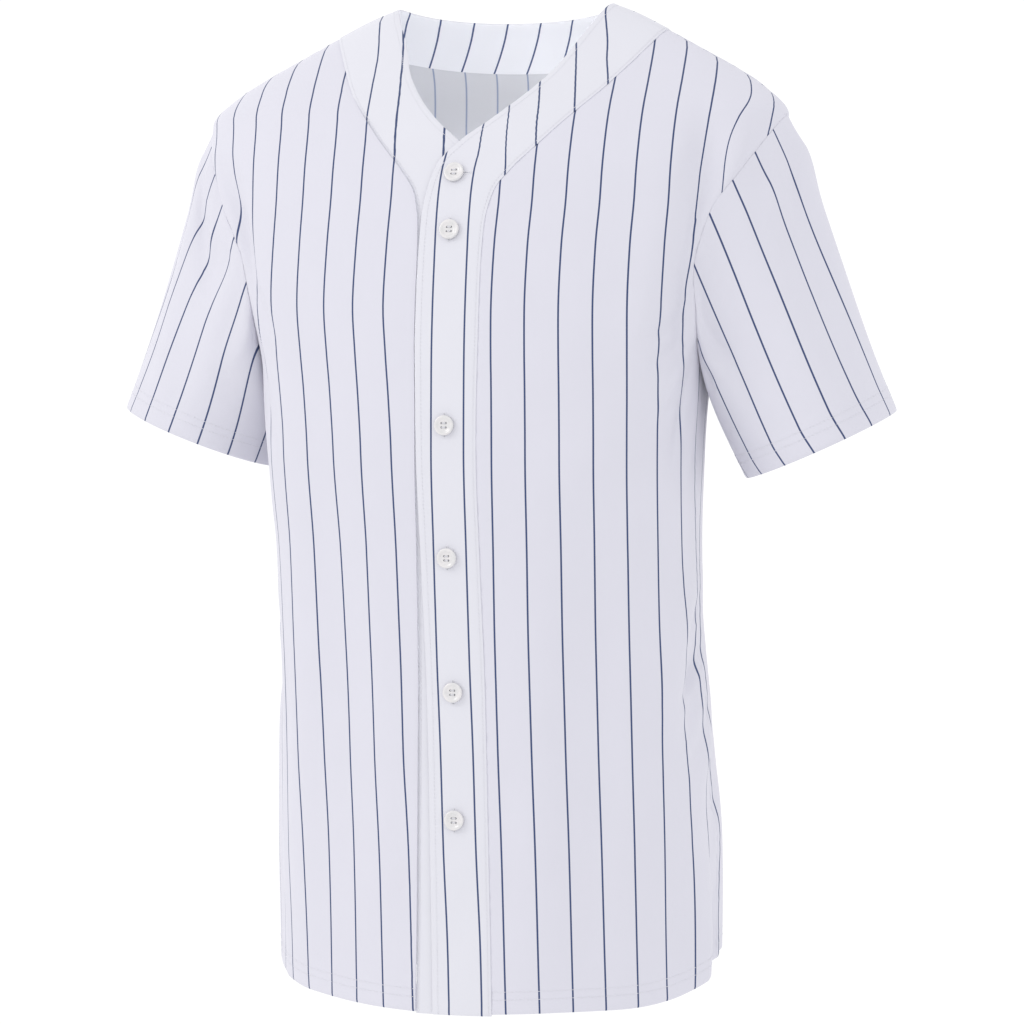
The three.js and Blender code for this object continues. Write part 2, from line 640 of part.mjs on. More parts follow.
function sleeveFoldHeight(side, angle, down) {
  let height = 0;
  for (const fold of SLEEVE_FOLDS[side > 0 ? "left" : "right"]) {
    const x = turn(fold.angle, angle) * SLEEVE_GIRTH_PER_DEGREE;
    const runX = turn(fold.angle, fold.toAngle) * SLEEVE_GIRTH_PER_DEGREE;
    height += foldHeight(x, down * SLEEVE_LENGTH - fold.down, runX, fold.toDown - fold.down, fold);
  }
  return height * clamp(down / FOLD_FREE_SHARE, 0, 1);
}

function sleeveSurface(side, angle, down) {
  const form = (a, b) => sleeveForm(side, a, b);
  const normal = outward(form, angle, down, 2, 0.01, sleeveInside(side, down));
  return form(angle, down).addScaledVector(normal, sleeveFoldHeight(side, angle, down));
}

function sleeve(side) {
  const around = 2 * MESH.armholeRows;
  const surface = (angle, down) => sleeveSurface(side, angle, down);
  const grid = [];
  for (let row = 0; row <= MESH.sleeveRows; row++) {
    const fromCuff = MESH.sleeveRows - row;
    const line = [];
    for (let k = 0; k < around; k++) {
      const angle = (360 * k) / around;
      const seam = armholeSeam(side, angle / 180);
      const length = seam.point.distanceTo(cuffPoint(side, angle));
      const turnUp = 1 - CLOTH.hemDepth / length;
      const above = turnUp - 1 / length;
      const down = fromCuff === 0 ? 1 : fromCuff === 1 ? turnUp : (above * row) / (MESH.sleeveRows - 2);
      const normal = outward(surface, angle, down, 2, 0.01, sleeveInside(side, down));
      if (row === 0) {
        const opened = seam.point.addScaledVector(seam.across, CLOTH.armholeGap / 2);
        line.push(clothPlace(opened, seamNormal(seam.radial, normal), CLOTH.panelWall));
      } else {
        line.push(clothPlace(surface(angle, down), normal, fromCuff <= 1 ? CLOTH.hemWall : CLOTH.panelWall));
      }
    }
    grid.push(line);
  }
  return wallGeometry(grid, true);
}

// A closed geometry as a solid, and back.
function toSolid(geometry) {
  const bare = new THREE.BufferGeometry();
  bare.setAttribute("position", geometry.getAttribute("position"));
  bare.setIndex(geometry.getIndex());
  const merged = mergeVertices(bare, 1e-4);
  return new manifold.Manifold(
    new manifold.Mesh({
      numProp: 3,
      vertProperties: new Float32Array(merged.attributes.position.array),
      triVerts: new Uint32Array(merged.index.array),
    }),
  );
}

function fromSolid(solid) {
  const mesh = solid.getMesh();
  const geometry = new THREE.BufferGeometry();
  geometry.setAttribute("position", new THREE.Float32BufferAttribute(mesh.vertProperties, 3));
  geometry.setIndex(new THREE.BufferAttribute(mesh.triVerts, 1));
  geometry.computeVertexNormals();
  return geometry;
}

// A button lying on the plane y = 0: a rounded rim round a shallow dish, with four holes through it.
function buttonGeometry() {
  const { radius, thickness, sides, holeRadius, holeOffset, holeSides } = BUTTON;
  const profile = [
    [0, 0],
    [radius - 1, 0],
    [radius, 0.9],
    [radius, thickness - 0.9],
    [radius - 0.7, thickness],
    [radius - 1.7, thickness],
    [radius - 2.8, thickness - 0.9],
    [0, thickness - 1.1],
  ].map(([x, y]) => new THREE.Vector2(x, y));
  let solid = toSolid(new THREE.LatheGeometry(profile, sides));
  for (const [x, z] of [[1, 1], [1, -1], [-1, 1], [-1, -1]]) {
    const hole = new THREE.CylinderGeometry(holeRadius, holeRadius, 3 * thickness, holeSides);
    hole.translate(x * holeOffset, 0, z * holeOffset);
    solid = solid.subtract(toSolid(hole));
  }
  return fromSolid(solid);
}

const cloth = new THREE.MeshStandardMaterial({ color: COLOUR.cloth, roughness: 0.85, metalness: 0 });
const pearl = new THREE.MeshStandardMaterial({ color: COLOUR.button, roughness: 0.25, metalness: 0 });

const jersey = new THREE.Group();

function addPiece(name, geometry, material) {
  const mesh = new THREE.Mesh(geometry, material);
  mesh.name = name;
  jersey.add(mesh);
  return mesh;
}

addPiece("front_right", frontPanel(-1), cloth);
addPiece("front_left", frontPanel(1), cloth);
addPiece("back", backPanel(), cloth);
addPiece("sleeve_right", sleeve(-1), cloth);
addPiece("sleeve_left", sleeve(1), cloth);
addPiece("band_right", frontBand(-1), cloth);
addPiece("band_left", frontBand(1), cloth);
addPiece("band_back", backBand(), cloth);

BUTTONS.forEach(({ x, z }, k) => {
  const angle = angleAt(x, z);
  const normal = torsoNormal(angle, z);
  const button = addPiece(`button_${k + 1}`, buttonGeometry(), pearl);
  button.position.copy(torsoSurface(angle, z)).addScaledVector(normal, CLOTH.bandProud + BUTTON.gap);
  button.quaternion.setFromUnitVectors(new THREE.Vector3(0, 1, 0), normal);
});

export default jersey;
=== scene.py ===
import math

import bpy
import numpy as np
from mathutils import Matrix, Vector


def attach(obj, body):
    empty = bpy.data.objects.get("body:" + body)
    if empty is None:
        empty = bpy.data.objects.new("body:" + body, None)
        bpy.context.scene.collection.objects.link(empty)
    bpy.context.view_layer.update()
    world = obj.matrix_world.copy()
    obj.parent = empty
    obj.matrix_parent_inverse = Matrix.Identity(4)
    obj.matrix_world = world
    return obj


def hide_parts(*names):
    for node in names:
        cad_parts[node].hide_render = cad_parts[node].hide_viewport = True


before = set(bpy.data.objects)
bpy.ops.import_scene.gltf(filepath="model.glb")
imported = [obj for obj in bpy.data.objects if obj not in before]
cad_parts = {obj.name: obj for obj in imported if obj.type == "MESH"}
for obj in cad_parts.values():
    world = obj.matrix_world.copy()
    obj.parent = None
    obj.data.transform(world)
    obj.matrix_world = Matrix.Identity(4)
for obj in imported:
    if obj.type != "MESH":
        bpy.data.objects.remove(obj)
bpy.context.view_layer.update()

# Lengths in the tables are millimetres, and the meshes are made in metres.
MM = 0.001
DEGREE = math.pi / 180

CLOTH = {"wall": 1.2, "band_wall": 1.9, "band_proud": 0.6, "hem_wall": 2.1, "hem_depth": 20}
# The right band drops behind the left one from clear_z down to under_z.
OVERLAP = {"drop": 2.5, "clear_z": -60, "under_z": -100}
# Lines of stitches, in millimetres from a folded edge, from a seam and from the hems.
EDGE_STITCH, SEAM_STITCH = 4.6, 2.2
HEM_STITCHES = {"body": (11, 17), "cuff": (13, 19)}
# Small gathers of the cloth: height, and reach along the line.
SEAM_PUCKER, PLACKET_PUCKER = (0.35, 9), (0.22, 12)
HEM_PUCKERS = {"body": (0.3, 10), "cuff": (0.25, 10)}
HEM_PUCKER_SPREAD = 5

# Level sections of the torso. Front and back are depths from the side line, which lies at side_y.
SECTIONS = {
    "z": [
        *(-790, -722, -646, -571, -495, -420, -345, -281, -230, -185),
        *(-145, -112, -90, -67, -52, -37, -21, -9, 0),
    ],
    "half_width": [
        *(175, 176, 177, 174, 169, 167, 169, 174, 188, 202),
        *(218, 230, 231, 210, 187, 160, 131, 108, 86),
    ],
    "front": [124, 124, 120, 110, 101, 99, 98, 99, 100, 100, 97, 88, 76, 58, 46, 34, 25, 20, 14],
    "back": [109, 109, 110, 113, 116, 122, 131, 130, 124, 119, 113, 109, 105, 100, 94, 84, 69, 53, 42],
    "side_y": [-13, -13, -18, -29, -41, -50, -57, -55, -50, -43, -36, -30, -26, -20, -15, -11, -7, -3, 0],
    "squareness": [2, 2, 2, 2, 2.1, 2.2, 2.4, 2.4, 2.4, 2.3, 2.2, 2.1, 2, 2, 2, 2, 2, 2, 2],
}

# The armhole from the armpit to the shoulder tip, in degrees round from the centre front.
ARMHOLE = {
    "z": [-281, -276, -258, -228, -196, -165, -136, -112, -96, -90],
    "front_left": [90, 84, 77, 69, 63, 62, 66, 73, 82, 90],
    "front_right": [90, 84, 76, 68, 66, 71, 77, 82, 87, 90],
    "back": [90, 98, 107, 115, 119, 118, 114, 107, 98, 90],
}

# The straight part of the front bands.
PLACKET = {
    "z": [-780, -560, -330, -262],
    "seam_x": [30.5, 27, 24, 25],
    "edge_x": [-15.5, -18.5, -23, -24],
}

# The shaped part above it, up to the shoulder seam.
NECK_BAND = {
    "seam_x": [25, 25, 26, 31, 44, 61, 80, 98, 113, 133],
    "seam_z": [-262, -215, -178, -152, -133, -115, -94, -74, -53, -22],
    "edge_x": [-24, -24, -23, -16, 0, 21, 41, 57, 69, 86],
    "edge_z": [-262, -210, -168, -132, -112, -95, -76, -56, -32, 0],
}
BACK_NECK = {"edge_z": -9, "seam_z": -46}

HEM_Z = -769
HEM_RISE = {
    "angle": [0, 25, 45, 60, 75, 90, 102, 125, 150, 180],
    "left": [0, 3, 4.5, 9, 20, 34, 40, 22, 7, 0],
    "right": [0, 4, 10, 16, 22, 30, 33, 20, 7, 0],
}

CUFF = {
    1: {"centre": (255, -14, -340), "half_width": 63, "half_depth": 61, "tilt": 23, "dip": 9},
    -1: {"centre": (-246, -14, -334), "half_width": 66, "half_depth": 61, "tilt": 21.5, "dip": 0},
}
UNDERARM_SWELL = 0.3

# Folds that the solids have too: angle, z, to angle, to z, half width, height.
TORSO_GIRTH = 2.6
TORSO_FOLDS = [
    (51, -92, 58, -176, 13, -7),
    (63, -106, 66, -168, 12, 4),
    (60, -190, 70, -268, 14, -6),
    (44, -130, 52, -300, 20, 4),
    (-62, -130, -61, -220, 12, -6),
    (-71, -120, -66, -215, 11, 5),
    (-48, -150, -52, -330, 20, 3),
    (88, -478, 72, -566, 16, -8),
    (78, -452, 62, -540, 17, 4),
    (98, -560, 80, -640, 17, -5),
    (72, -640, 76, -790, 19, 5),
    (88, -650, 86, -790, 15, -6),
    (40, -380, 36, -780, 24, -4),
    (22, -420, 20, -780, 24, 3),
    (-34, -300, -30, -760, 24, -4),
    (-52, -360, -48, -780, 24, 4),
    (-74, -420, -68, -780, 20, -3),
    (-92, -470, -78, -540, 16, -3),
    (128, -120, 116, -300, 20, 6),
    (140, -150, 126, -340, 18, -6),
    (230, -130, 243, -290, 20, 6),
    (219, -165, 235, -360, 18, -5),
    (184, -330, 178, -790, 26, -6),
    (160, -360, 152, -790, 24, 5),
    (138, -400, 134, -780, 22, -6),
    (203, -340, 210, -780, 24, 5),
    (226, -430, 230, -790, 22, -6),
    (104, -470, 124, -560, 16, -6),
    (256, -460, 238, -545, 16, -5),
]

# Creases of the torso that are too small for the solids, in the same columns.
TORSO_CREASES = [
    (66, -246, 50, -262, 5, -1.8),
    (68, -232, 54, -240, 5, 1.5),
    (70, -262, 52, -290, 6, -1.6),
    (74, -276, 60, -318, 6, 1.6),
    (78, -282, 70, -352, 7, -2.2),
    (86, -300, 80, -372, 7, 1.8),
    (56, -150, 60, -196, 5, -2.0),
    (48, -108, 52, -146, 7, -1.5),
    (92, -456, 74, -500, 6, -2.0),
    (94, -492, 70, -536, 6, -2.4),
    (90, -512, 66, -552, 6, 1.8),
    (96, -530, 72, -584, 7, -2.2),
    (92, -556, 76, -602, 6, 1.6),
    (100, -588, 84, -640, 7, -2.0),
    (84, -640, 80, -700, 7, -2.0),
    (78, -660, 77, -765, 7, 1.8),
    (84, -690, 83, -768, 6, -2.0),
    (90, -676, 91, -764, 6, 1.6),
    (96, -690, 97, -760, 7, -2.0),
    (62, -600, 60, -765, 9, -1.2),
    (50, -430, 47, -640, 11, 1.2),
    (30, -470, 28, -700, 12, -1.2),
    (14, -560, 12, -768, 10, -1.0),
    (-12, -600, -12, -768, 9, -1.0),
    (-20, -430, -18, -640, 12, 1.1),
    (-42, -520, -40, -768, 11, -1.4),
    (-60, -440, -58, -640, 10, -1.4),
    (-64, -610, -60, -768, 9, 1.3),
    (-80, -500, -76, -620, 8, -1.6),
    (-84, -640, -82, -768, 8, 1.6),
    (-58, -214, -50, -268, 7, -1.8),
    (-66, -226, -60, -300, 6, 1.5),
    (-72, -256, -64, -330, 6, -1.8),
    (-80, -280, -74, -350, 6, 1.5),
    (-56, -120, -57, -160, 6, -1.6),
    (-68, -150, -70, -196, 5, -1.6),
    (-90, -452, -76, -480, 6, -1.6),
    (122, -210, 112, -290, 7, -2.0),
    (132, -230, 120, -330, 8, 1.8),
    (146, -200, 138, -300, 9, -1.4),
    (236, -210, 246, -300, 7, -2.0),
    (226, -240, 238, -340, 8, 1.8),
    (212, -200, 220, -300, 9, -1.4),
    (112, -440, 128, -500, 8, -2.0),
    (108, -500, 132, -560, 7, 1.8),
    (114, -540, 136, -610, 8, -2.0),
    (250, -440, 232, -500, 8, -1.8),
    (254, -500, 230, -560, 7, 1.6),
    (248, -545, 228, -620, 8, -1.8),
    (170, -470, 168, -700, 12, -1.4),
    (192, -430, 194, -660, 12, 1.4),
    (148, -560, 146, -768, 10, -1.6),
    (216, -520, 218, -768, 10, -1.6),
    (172, -640, 170, -768, 9, 1.2),
    (200, -650, 202, -768, 9, -1.2),
]

# Folds of the sleeves: degrees from the top line towards the front, and millimetres down from the armhole.
SLEEVE_GIRTH = 1.15
SLEEVE_LENGTH = 240
FOLD_FREE = 0.12
SLEEVE_FOLDS = {
    1: [
        (-40, 34, 50, 34, 24, 4),
        (118, 10, 96, 200, 17, -4),
        (72, 25, 66, 230, 18, 3),
        (30, 25, 40, 200, 15, -3),
        (232, 12, 258, 200, 18, -5),
        (275, 25, 288, 220, 17, 4),
    ],
    -1: [
        (-40, 34, 50, 34, 24, 3),
        (52, 28, 66, 78, 11, -5),
        (88, 18, 74, 95, 12, -5),
        (104, 35, 92, 200, 17, 3),
        (20, 60, 30, 225, 16, -3),
        (240, 12, 262, 200, 18, -5),
        (282, 28, 292, 220, 17, 4),
    ],
}
SLEEVE_CREASES = {
    1: [
        (26, 18, 38, 70, 6, -1.8),
        (44, 16, 52, 58, 6, 1.4),
        (60, 22, 62, 90, 6, -1.4),
        (126, 20, 108, 110, 7, -2.0),
        (140, 24, 122, 96, 6, 1.8),
        (150, 30, 138, 88, 6, -1.8),
        (104, 90, 98, 190, 8, 1.2),
        (84, 120, 80, 225, 9, -1.2),
        (50, 130, 54, 235, 9, 1.0),
        (222, 24, 240, 110, 7, -1.8),
        (208, 26, 226, 90, 6, 1.6),
        (262, 40, 276, 160, 8, -1.4),
        (310, 30, 318, 190, 9, -1.6),
        (336, 40, 340, 170, 9, 1.2),
    ],
    -1: [
        (40, 22, 56, 60, 5, -1.8),
        (64, 16, 70, 62, 5, 1.6),
        (78, 20, 70, 92, 6, -1.6),
        (96, 16, 88, 84, 6, 1.5),
        (110, 24, 98, 120, 7, -1.8),
        (126, 30, 112, 120, 7, 1.6),
        (84, 120, 80, 225, 9, -1.2),
        (60, 110, 58, 200, 9, 1.2),
        (46, 150, 48, 235, 9, -1.2),
        (220, 26, 240, 120, 7, -1.8),
        (206, 26, 222, 84, 6, 1.6),
        (264, 40, 280, 170, 8, -1.4),
        (312, 30, 320, 190, 9, -1.6),
        (340, 36, 344, 180, 9, 1.2),
    ],
}

# How the stripes run. On a panel the place across the cloth is the level arc from the middle, plus a drift.
PITCH = 25.4
STRIPE_DRIFT = {
    "z": [-760, -720, -645, -570, -495, -420, -345, -307, -270, -233, -195, -157, -115, -76, -42],
    "left": [-6.6, -5.5, -3.8, -1.5, -0.3, -1.0, -1.6, -1.3, -0.6, 0.0, -0.4, -1.8, -0.8, 2.0, 6.2],
    "right": [-9.8, -8.5, -6.5, -3, -1.8, -1, 0.8, 3, 6, 8.6, 8, 7, 9, 16.5, 23.5],
}
FIRST_STRIPE = {"left": 34.5, "right": -42, "back": -5}
# On a front band each stripe has its own line: how far it is from the middle at each height.
BAND_STRIPES = {
    1: {
        "z": [-760, -719, -644, -569, -495, -232, -157, -135, -119, -97, -87, -65, -46, -32, -7],
        "lines": [
            [23, 22, 19, 17, 15, 14.7, 14.3, 15.2, 16.9, 16.7, 15, 8, 3, 0, -8],
            [48.5, 47.5, 44.5, 42.5, 40.5, 40.1, 39.6, 39.2, 37.2, 34.5, 33, 27, 22, 18, 12],
            [74, 73, 70, 68, 66, 65.5, 65, 62.5, 60.2, 56.8, 55.5, 50.1, 46, 43, 38],
            [99.5, 98.5, 95.5, 93.5, 91.5, 90.9, 90, 88, 87, 85.2, 83.3, 77.5, 72, 68, 60],
            [125, 124, 121, 119, 117, 116.3, 116, 114, 112, 110, 108, 102, 95.3, 92, 84.4],
        ],
    },
    -1: {
        "z": [-121, -100, -77, -45, -10],
        "lines": [[11.5, 14.7, 20, 30, 40], [51.5, 55, 59, 68, 78], [76, 80, 83, 89, 98]],
    },
}
BACK_BAND_LEAN, BACK_BAND_PITCH, BACK_BAND_FIRST = 0.53, 27.2, 4.4
SLEEVE_FIRST_STRIPE = {
    "down": [0.05, 0.25, 0.45, 0.7, 0.88, 1],
    1: [4, 3, 2, 1.5, 2, 5],
    -1: [7, 7, 7, 7, 7, 7],
}
# The stripe over the left shoulder bends to the armhole, by so much across the cloth.
SHOULDER_BEND = {"z": [-170, -135, -118, -95, -75, -50], "across": [16, 14, 12, 3, -5, 0]}
SHOULDER_STRIPE, SHOULDER_SPREAD = 7, 0.55

BUTTONS = [(0, -137), (0, -180), (0, -326), (0, -425), (2, -526), (2.5, -622)]
BUTTON_RADIUS, BUTTON_THICKNESS, BUTTON_GAP = 7.6, 3.0, 0.3
DISH_DEPTH, HOLE_RADIUS, HOLE_OFFSET = 1.1, 0.8, 1.6
# A buttonhole's half length, half width and thickness of thread, and how far the first one, which lies
# level, is to the side of its button.
BUTTONHOLE = {"half_length": 9.2, "half_width": 0.75, "thread": 0.45, "shift": 3.6}


# Curves through tables, and the surfaces made from them


def smooth_through(xs, ys):
    """A curve through the values with no overshoot, straight beyond its ends."""
    xs, ys = np.array(xs, float), np.array(ys, float)
    secant = np.diff(ys) / np.diff(xs)
    before, after = secant[:-1], secant[1:]
    product = before * after
    inner = np.where(product <= 0, 0, 2 * product / np.where(before + after == 0, 1, before + after))
    slopes = np.concatenate([secant[:1], inner, secant[-1:]])

    def curve(at):
        at = np.asarray(at, float)
        k = np.clip(np.searchsorted(xs, at, side="right") - 1, 0, len(xs) - 2)
        span = xs[k + 1] - xs[k]
        s = np.clip((at - xs[k]) / span, 0, 1)
        bend = slopes[k] * (1 - s) - slopes[k + 1] * s
        value = ys[k] + (ys[k + 1] - ys[k]) * s * s * (3 - 2 * s) + span * s * (1 - s) * bend
        value = value + slopes[0] * np.minimum(at - xs[0], 0)
        return value + slopes[-1] * np.maximum(at - xs[-1], 0)

    return curve


def smooth_table(table, over=None):
    count = len(next(iter(table.values())))
    positions = table[over] if over else np.linspace(0, 1, count)
    return {name: smooth_through(positions, column) for name, column in table.items()}


section = smooth_table(SECTIONS, "z")
armhole = smooth_table(ARMHOLE)
placket = smooth_table(PLACKET, "z")
neck_band = smooth_table(NECK_BAND)
hem_rise = smooth_table(HEM_RISE, "angle")


def unit(v):
    return v / np.maximum(np.linalg.norm(v, axis=-1, keepdims=True), 1e-9)


def turn(start, to):
    return (to - start + 180) % 360 - 180


def fold_height(x, y, run_x, run_y, width, height):
    share = np.clip((x * run_x + y * run_y) / (run_x**2 + run_y**2), 0, 1)
    off = np.hypot(x - share * run_x, y - share * run_y)
    swell = 0.3 + 0.7 * np.sin(math.pi * share)
    return height * swell * np.exp(-((off / width) ** 2))


def torso_fold_height(angle, z, folds):
    total = np.zeros(np.broadcast(angle, z).shape)
    for a, z0, to_a, to_z, width, height in folds:
        x = turn(a, angle) * TORSO_GIRTH
        run_x = turn(a, to_a) * TORSO_GIRTH
        total = total + fold_height(x, z - z0, run_x, to_z - z0, width, height)
    return total


def torso_form(angle, z):
    side, facing = np.sin(angle * DEGREE), np.cos(angle * DEGREE)
    power = 2 / section["squareness"](z)
    depth = np.where(facing > 0, section["front"](z), section["back"](z))
    x = section["half_width"](z) * np.sign(side) * np.abs(side) ** power
    y = section["side_y"](z) - depth * np.sign(facing) * np.abs(facing) ** power
    return np.stack(np.broadcast_arrays(x, y, z), -1)


def outward(surface, a, b, step_a, step_b, inside):
    along = surface(a + step_a, b) - surface(a - step_a, b)
    up = surface(a, b + step_b) - surface(a, b - step_b)
    normal = unit(np.cross(along, up))
    flip = (normal * (surface(a, b) - inside)).sum(-1, keepdims=True) < 0
    return np.where(flip, -normal, normal)


def torso_inside(angle, z):
    zero = np.zeros(np.broadcast(angle, z).shape)
    return np.stack([zero, section["side_y"](z) + zero, z - 30 + zero], -1)


def torso_surface(angle, z):
    normal = outward(torso_form, angle, z, 1.0, 1.5, torso_inside(angle, z))
    height = torso_fold_height(angle, z, TORSO_FOLDS + TORSO_CREASES)
    return torso_form(angle, z) + normal * height[..., None]


def torso_normal(angle, z):
    return outward(torso_surface, angle, z, 0.6, 1.5, torso_inside(angle, z))


def angle_at(x, z):
    share = np.clip(np.abs(x) / section["half_width"](z), 0, 1)
    return np.sign(x) * np.arcsin(share ** (section["squareness"](z) / 2)) / DEGREE


def hem_z(angle):
    round_angle = turn(0, np.asarray(angle, float))
    return HEM_Z + np.where(round_angle > 0, hem_rise["left"](round_angle), hem_rise["right"](-round_angle))


# Rows of a torso panel: below the armpit a share of that height, above it a share of the armhole


LOWER_ROWS, UPPER_ROWS = 150, 60


def body_rows():
    """Each row as (is it below the armpit, share), closer together at the hem and the top."""
    hem_share = CLOTH["hem_depth"] / (NECK_BAND["seam_z"][0] - HEM_Z)
    hem = [0, 0.0012, 0.004, *np.linspace(0.008, hem_share, 7)]
    low = np.concatenate([hem, np.linspace(hem_share, 1, LOWER_ROWS)[1:]])
    high = np.concatenate([np.linspace(0, 1, UPPER_ROWS)[1:-1], [0.997, 1]])
    return [(True, share) for share in low] + [(False, share) for share in high]


def band_edge(below, share, side, edge):
    if below:
        z = HEM_Z + (NECK_BAND[edge + "_z"][0] - HEM_Z) * share
        return side * float(angle_at(placket[edge + "_x"](z), z)), float(z)
    z = float(neck_band[edge + "_z"](share))
    return side * float(angle_at(neck_band[edge + "_x"](share), z)), z


def side_edge(below, share, side, front):
    if below:
        low = float(hem_z(90 * side))
        return 90.0, low + (ARMHOLE["z"][0] - low) * share
    column = ("front_left" if side > 0 else "front_right") if front else "back"
    return float(armhole[column](share)), float(armhole["z"](share))


def armhole_loop(side, around):
    around = np.asarray(around, float) % 2
    front = around <= 1
    station = np.where(front, 1 - around, around - 1)
    column = "front_left" if side > 0 else "front_right"
    angle = np.where(front, armhole[column](station), armhole["back"](station))
    return torso_surface(side * angle, armhole["z"](station))


ARMHOLE_CENTRE = {side: armhole_loop(side, np.arange(16) / 8).mean(0) for side in (1, -1)}


# At an armhole each edge stands off the seam's line, is sunk below it, and leans outwards.
ARMHOLE_OPEN, ARMHOLE_SINK, ARMHOLE_LEAN = 0.06, 0.4, 1.5


def armhole_seam(side, around):
    point = armhole_loop(side, around)
    tangent = unit(armhole_loop(side, around + 0.03) - armhole_loop(side, around - 0.03))
    radial = point - ARMHOLE_CENTRE[side]
    radial = unit(radial - tangent * (radial * tangent).sum(-1, keepdims=True))
    across = unit(np.cross(tangent, radial))
    return point, radial, across * np.where(across[..., :1] * side < 0, -1, 1)


def even_columns(count, ends=(0.4, 1.2)):
    """Shares from 0 to 1, with two more close to each end for a rounded edge and a seam."""
    middle = np.linspace(0, 1, count)
    near = [e / count / 2 for e in ends]
    return np.concatenate([[0], near, middle[1:-1], [1 - e for e in near[::-1]], [1]])


def front_places(side):
    shares = even_columns(84)
    angles, heights = [], []
    for below, share in body_rows():
        inner_angle, inner_z = band_edge(below, share, side, "seam")
        outer_angle, outer_z = side_edge(below, share, side, True)
        fade = 1 - share if below else 0
        angle = inner_angle + (side * outer_angle - inner_angle) * shares
        hem_line = hem_z(0) + (hem_z(90 * side) - hem_z(0)) * shares
        angles.append(angle)
        heights.append(inner_z + (outer_z - inner_z) * shares + fade * (hem_z(angle) - hem_line))
    return np.array(angles), np.array(heights)


def back_neck_z(angle, edge):
    behind = np.sin((angle - 90) * DEGREE) ** 2
    at_shoulder = NECK_BAND[edge + "_z"][-1]
    return at_shoulder + (BACK_NECK[edge + "_z"] - at_shoulder) * behind


# The share of the back's columns that end on each shoulder.
RIDGE_SHARE = 10 / 34


def back_places():
    tip_z, seam_z = ARMHOLE["z"][-1], NECK_BAND["seam_z"][-1]
    shares = even_columns(170)
    top_angle = np.interp(shares, [0, RIDGE_SHARE, 1 - RIDGE_SHARE, 1], [90, 90, 270, 270])
    neck = back_neck_z(top_angle, "seam")
    from_end = np.minimum(shares, 1 - shares)
    ridge = np.interp(from_end, [0, RIDGE_SHARE], [tip_z, seam_z])
    top_z = np.where(from_end < RIDGE_SHARE, ridge, neck)
    angles, heights = [], []
    for below, share in body_rows():
        edge_angle, edge_z = side_edge(below, share, 1, False)
        neck_share = 0 if below else share * share
        fade = 1 - share if below else 0
        angle = edge_angle + (360 - 2 * edge_angle) * shares + neck_share * (top_angle - 90 - 180 * shares)
        angles.append(angle)
        heights.append(edge_z + fade * (hem_z(angle) - hem_z(90)) + neck_share * (top_z - tip_z))
    return np.array(angles), np.array(heights)


# Mesh building


def distance_along(points, axis):
    """Millimetres from the first row or column of a grid, along the other way."""
    steps = np.linalg.norm(np.diff(points, axis=axis), axis=-1)
    total = np.cumsum(steps, axis=axis)
    pad = [(0, 0), (0, 0)]
    pad[axis] = (1, 0)
    return np.pad(total, pad)


def edge_distances(points):
    left = distance_along(points, 1)
    low = distance_along(points, 0)
    return {
        "first": left,
        "last": left[:, -1:] - left,
        "bottom": low,
        "top": low[-1:, :] - low,
    }


def grid_faces(rows, columns, closed):
    r = np.arange(rows - 1)[:, None]
    c = np.arange(columns if closed else columns - 1)[None, :]
    a = r * columns + c
    b = r * columns + (c + 1) % columns
    return np.stack([a, b, b + columns, a + columns], -1).reshape(-1, 4)


def new_object(name, vertices, faces, materials, face_material=None, uv=None, sharp=50):
    mesh = bpy.data.meshes.new(name)
    mesh.from_pydata((np.asarray(vertices) * MM).tolist(), [], [list(face) for face in faces])
    for material in materials:
        mesh.materials.append(material)
    if face_material is not None:
        mesh.polygons.foreach_set("material_index", np.asarray(face_material, np.int32))
    mesh.polygons.foreach_set("use_smooth", np.ones(len(mesh.polygons), bool))
    if uv is not None:
        loops = np.zeros(len(mesh.loops), np.int32)
        mesh.loops.foreach_get("vertex_index", loops)
        layer = mesh.uv_layers.new(name="cut")
        layer.data.foreach_set("uv", np.asarray(uv, np.float32)[loops].ravel())
    mesh.update()
    mesh.set_sharp_from_angle(angle=sharp * DEGREE)
    obj = bpy.data.objects.new(name, mesh)
    bpy.context.scene.collection.objects.link(obj)
    return obj


def shell(name, outer, normals, thickness, uv, materials, closed=False):
    """A closed thin wall between its outer skin and an inner skin that lies a thickness within."""
    rows, columns = outer.shape[:2]
    inner = outer - normals * thickness[..., None]
    vertices = np.concatenate([outer.reshape(-1, 3), inner.reshape(-1, 3)])
    count = rows * columns
    quads = grid_faces(rows, columns, closed)
    inner_quads = quads[:, ::-1] + count
    rims = []
    c = np.arange(columns if closed else columns - 1)
    for row, first in ((0, True), (rows - 1, False)):
        a, b = row * columns + c, row * columns + (c + 1) % columns
        rim = np.stack([a + count, b + count, b, a], -1)
        rims.append(rim if first else rim[:, ::-1])
    if not closed:
        r = np.arange(rows - 1)
        for column, first in ((0, True), (columns - 1, False)):
            a, b = r * columns + column, (r + 1) * columns + column
            rim = np.stack([a, b, b + count, a + count], -1)
            rims.append(rim if first else rim[:, ::-1])
    rim_quads = np.concatenate(rims)
    faces = np.concatenate([quads, inner_quads, rim_quads])
    kinds = np.repeat([0, 1, 0], [len(quads), len(quads), len(rim_quads)])
    if signed_volume(vertices, faces) < 0:
        faces = faces[:, ::-1]
    flat_uv = uv.reshape(-1, 2)
    return new_object(name, vertices, faces, materials, kinds, np.concatenate([flat_uv, flat_uv]))


def signed_volume(vertices, quads):
    a, b, c, d = (vertices[quads[:, k]] for k in range(4))
    return ((a * np.cross(b, c)).sum() + (a * np.cross(c, d)).sum()) / 6


def seam_dip(distance, depth=0.4, width=1.3):
    return -depth * np.exp(-((distance / width) ** 2))


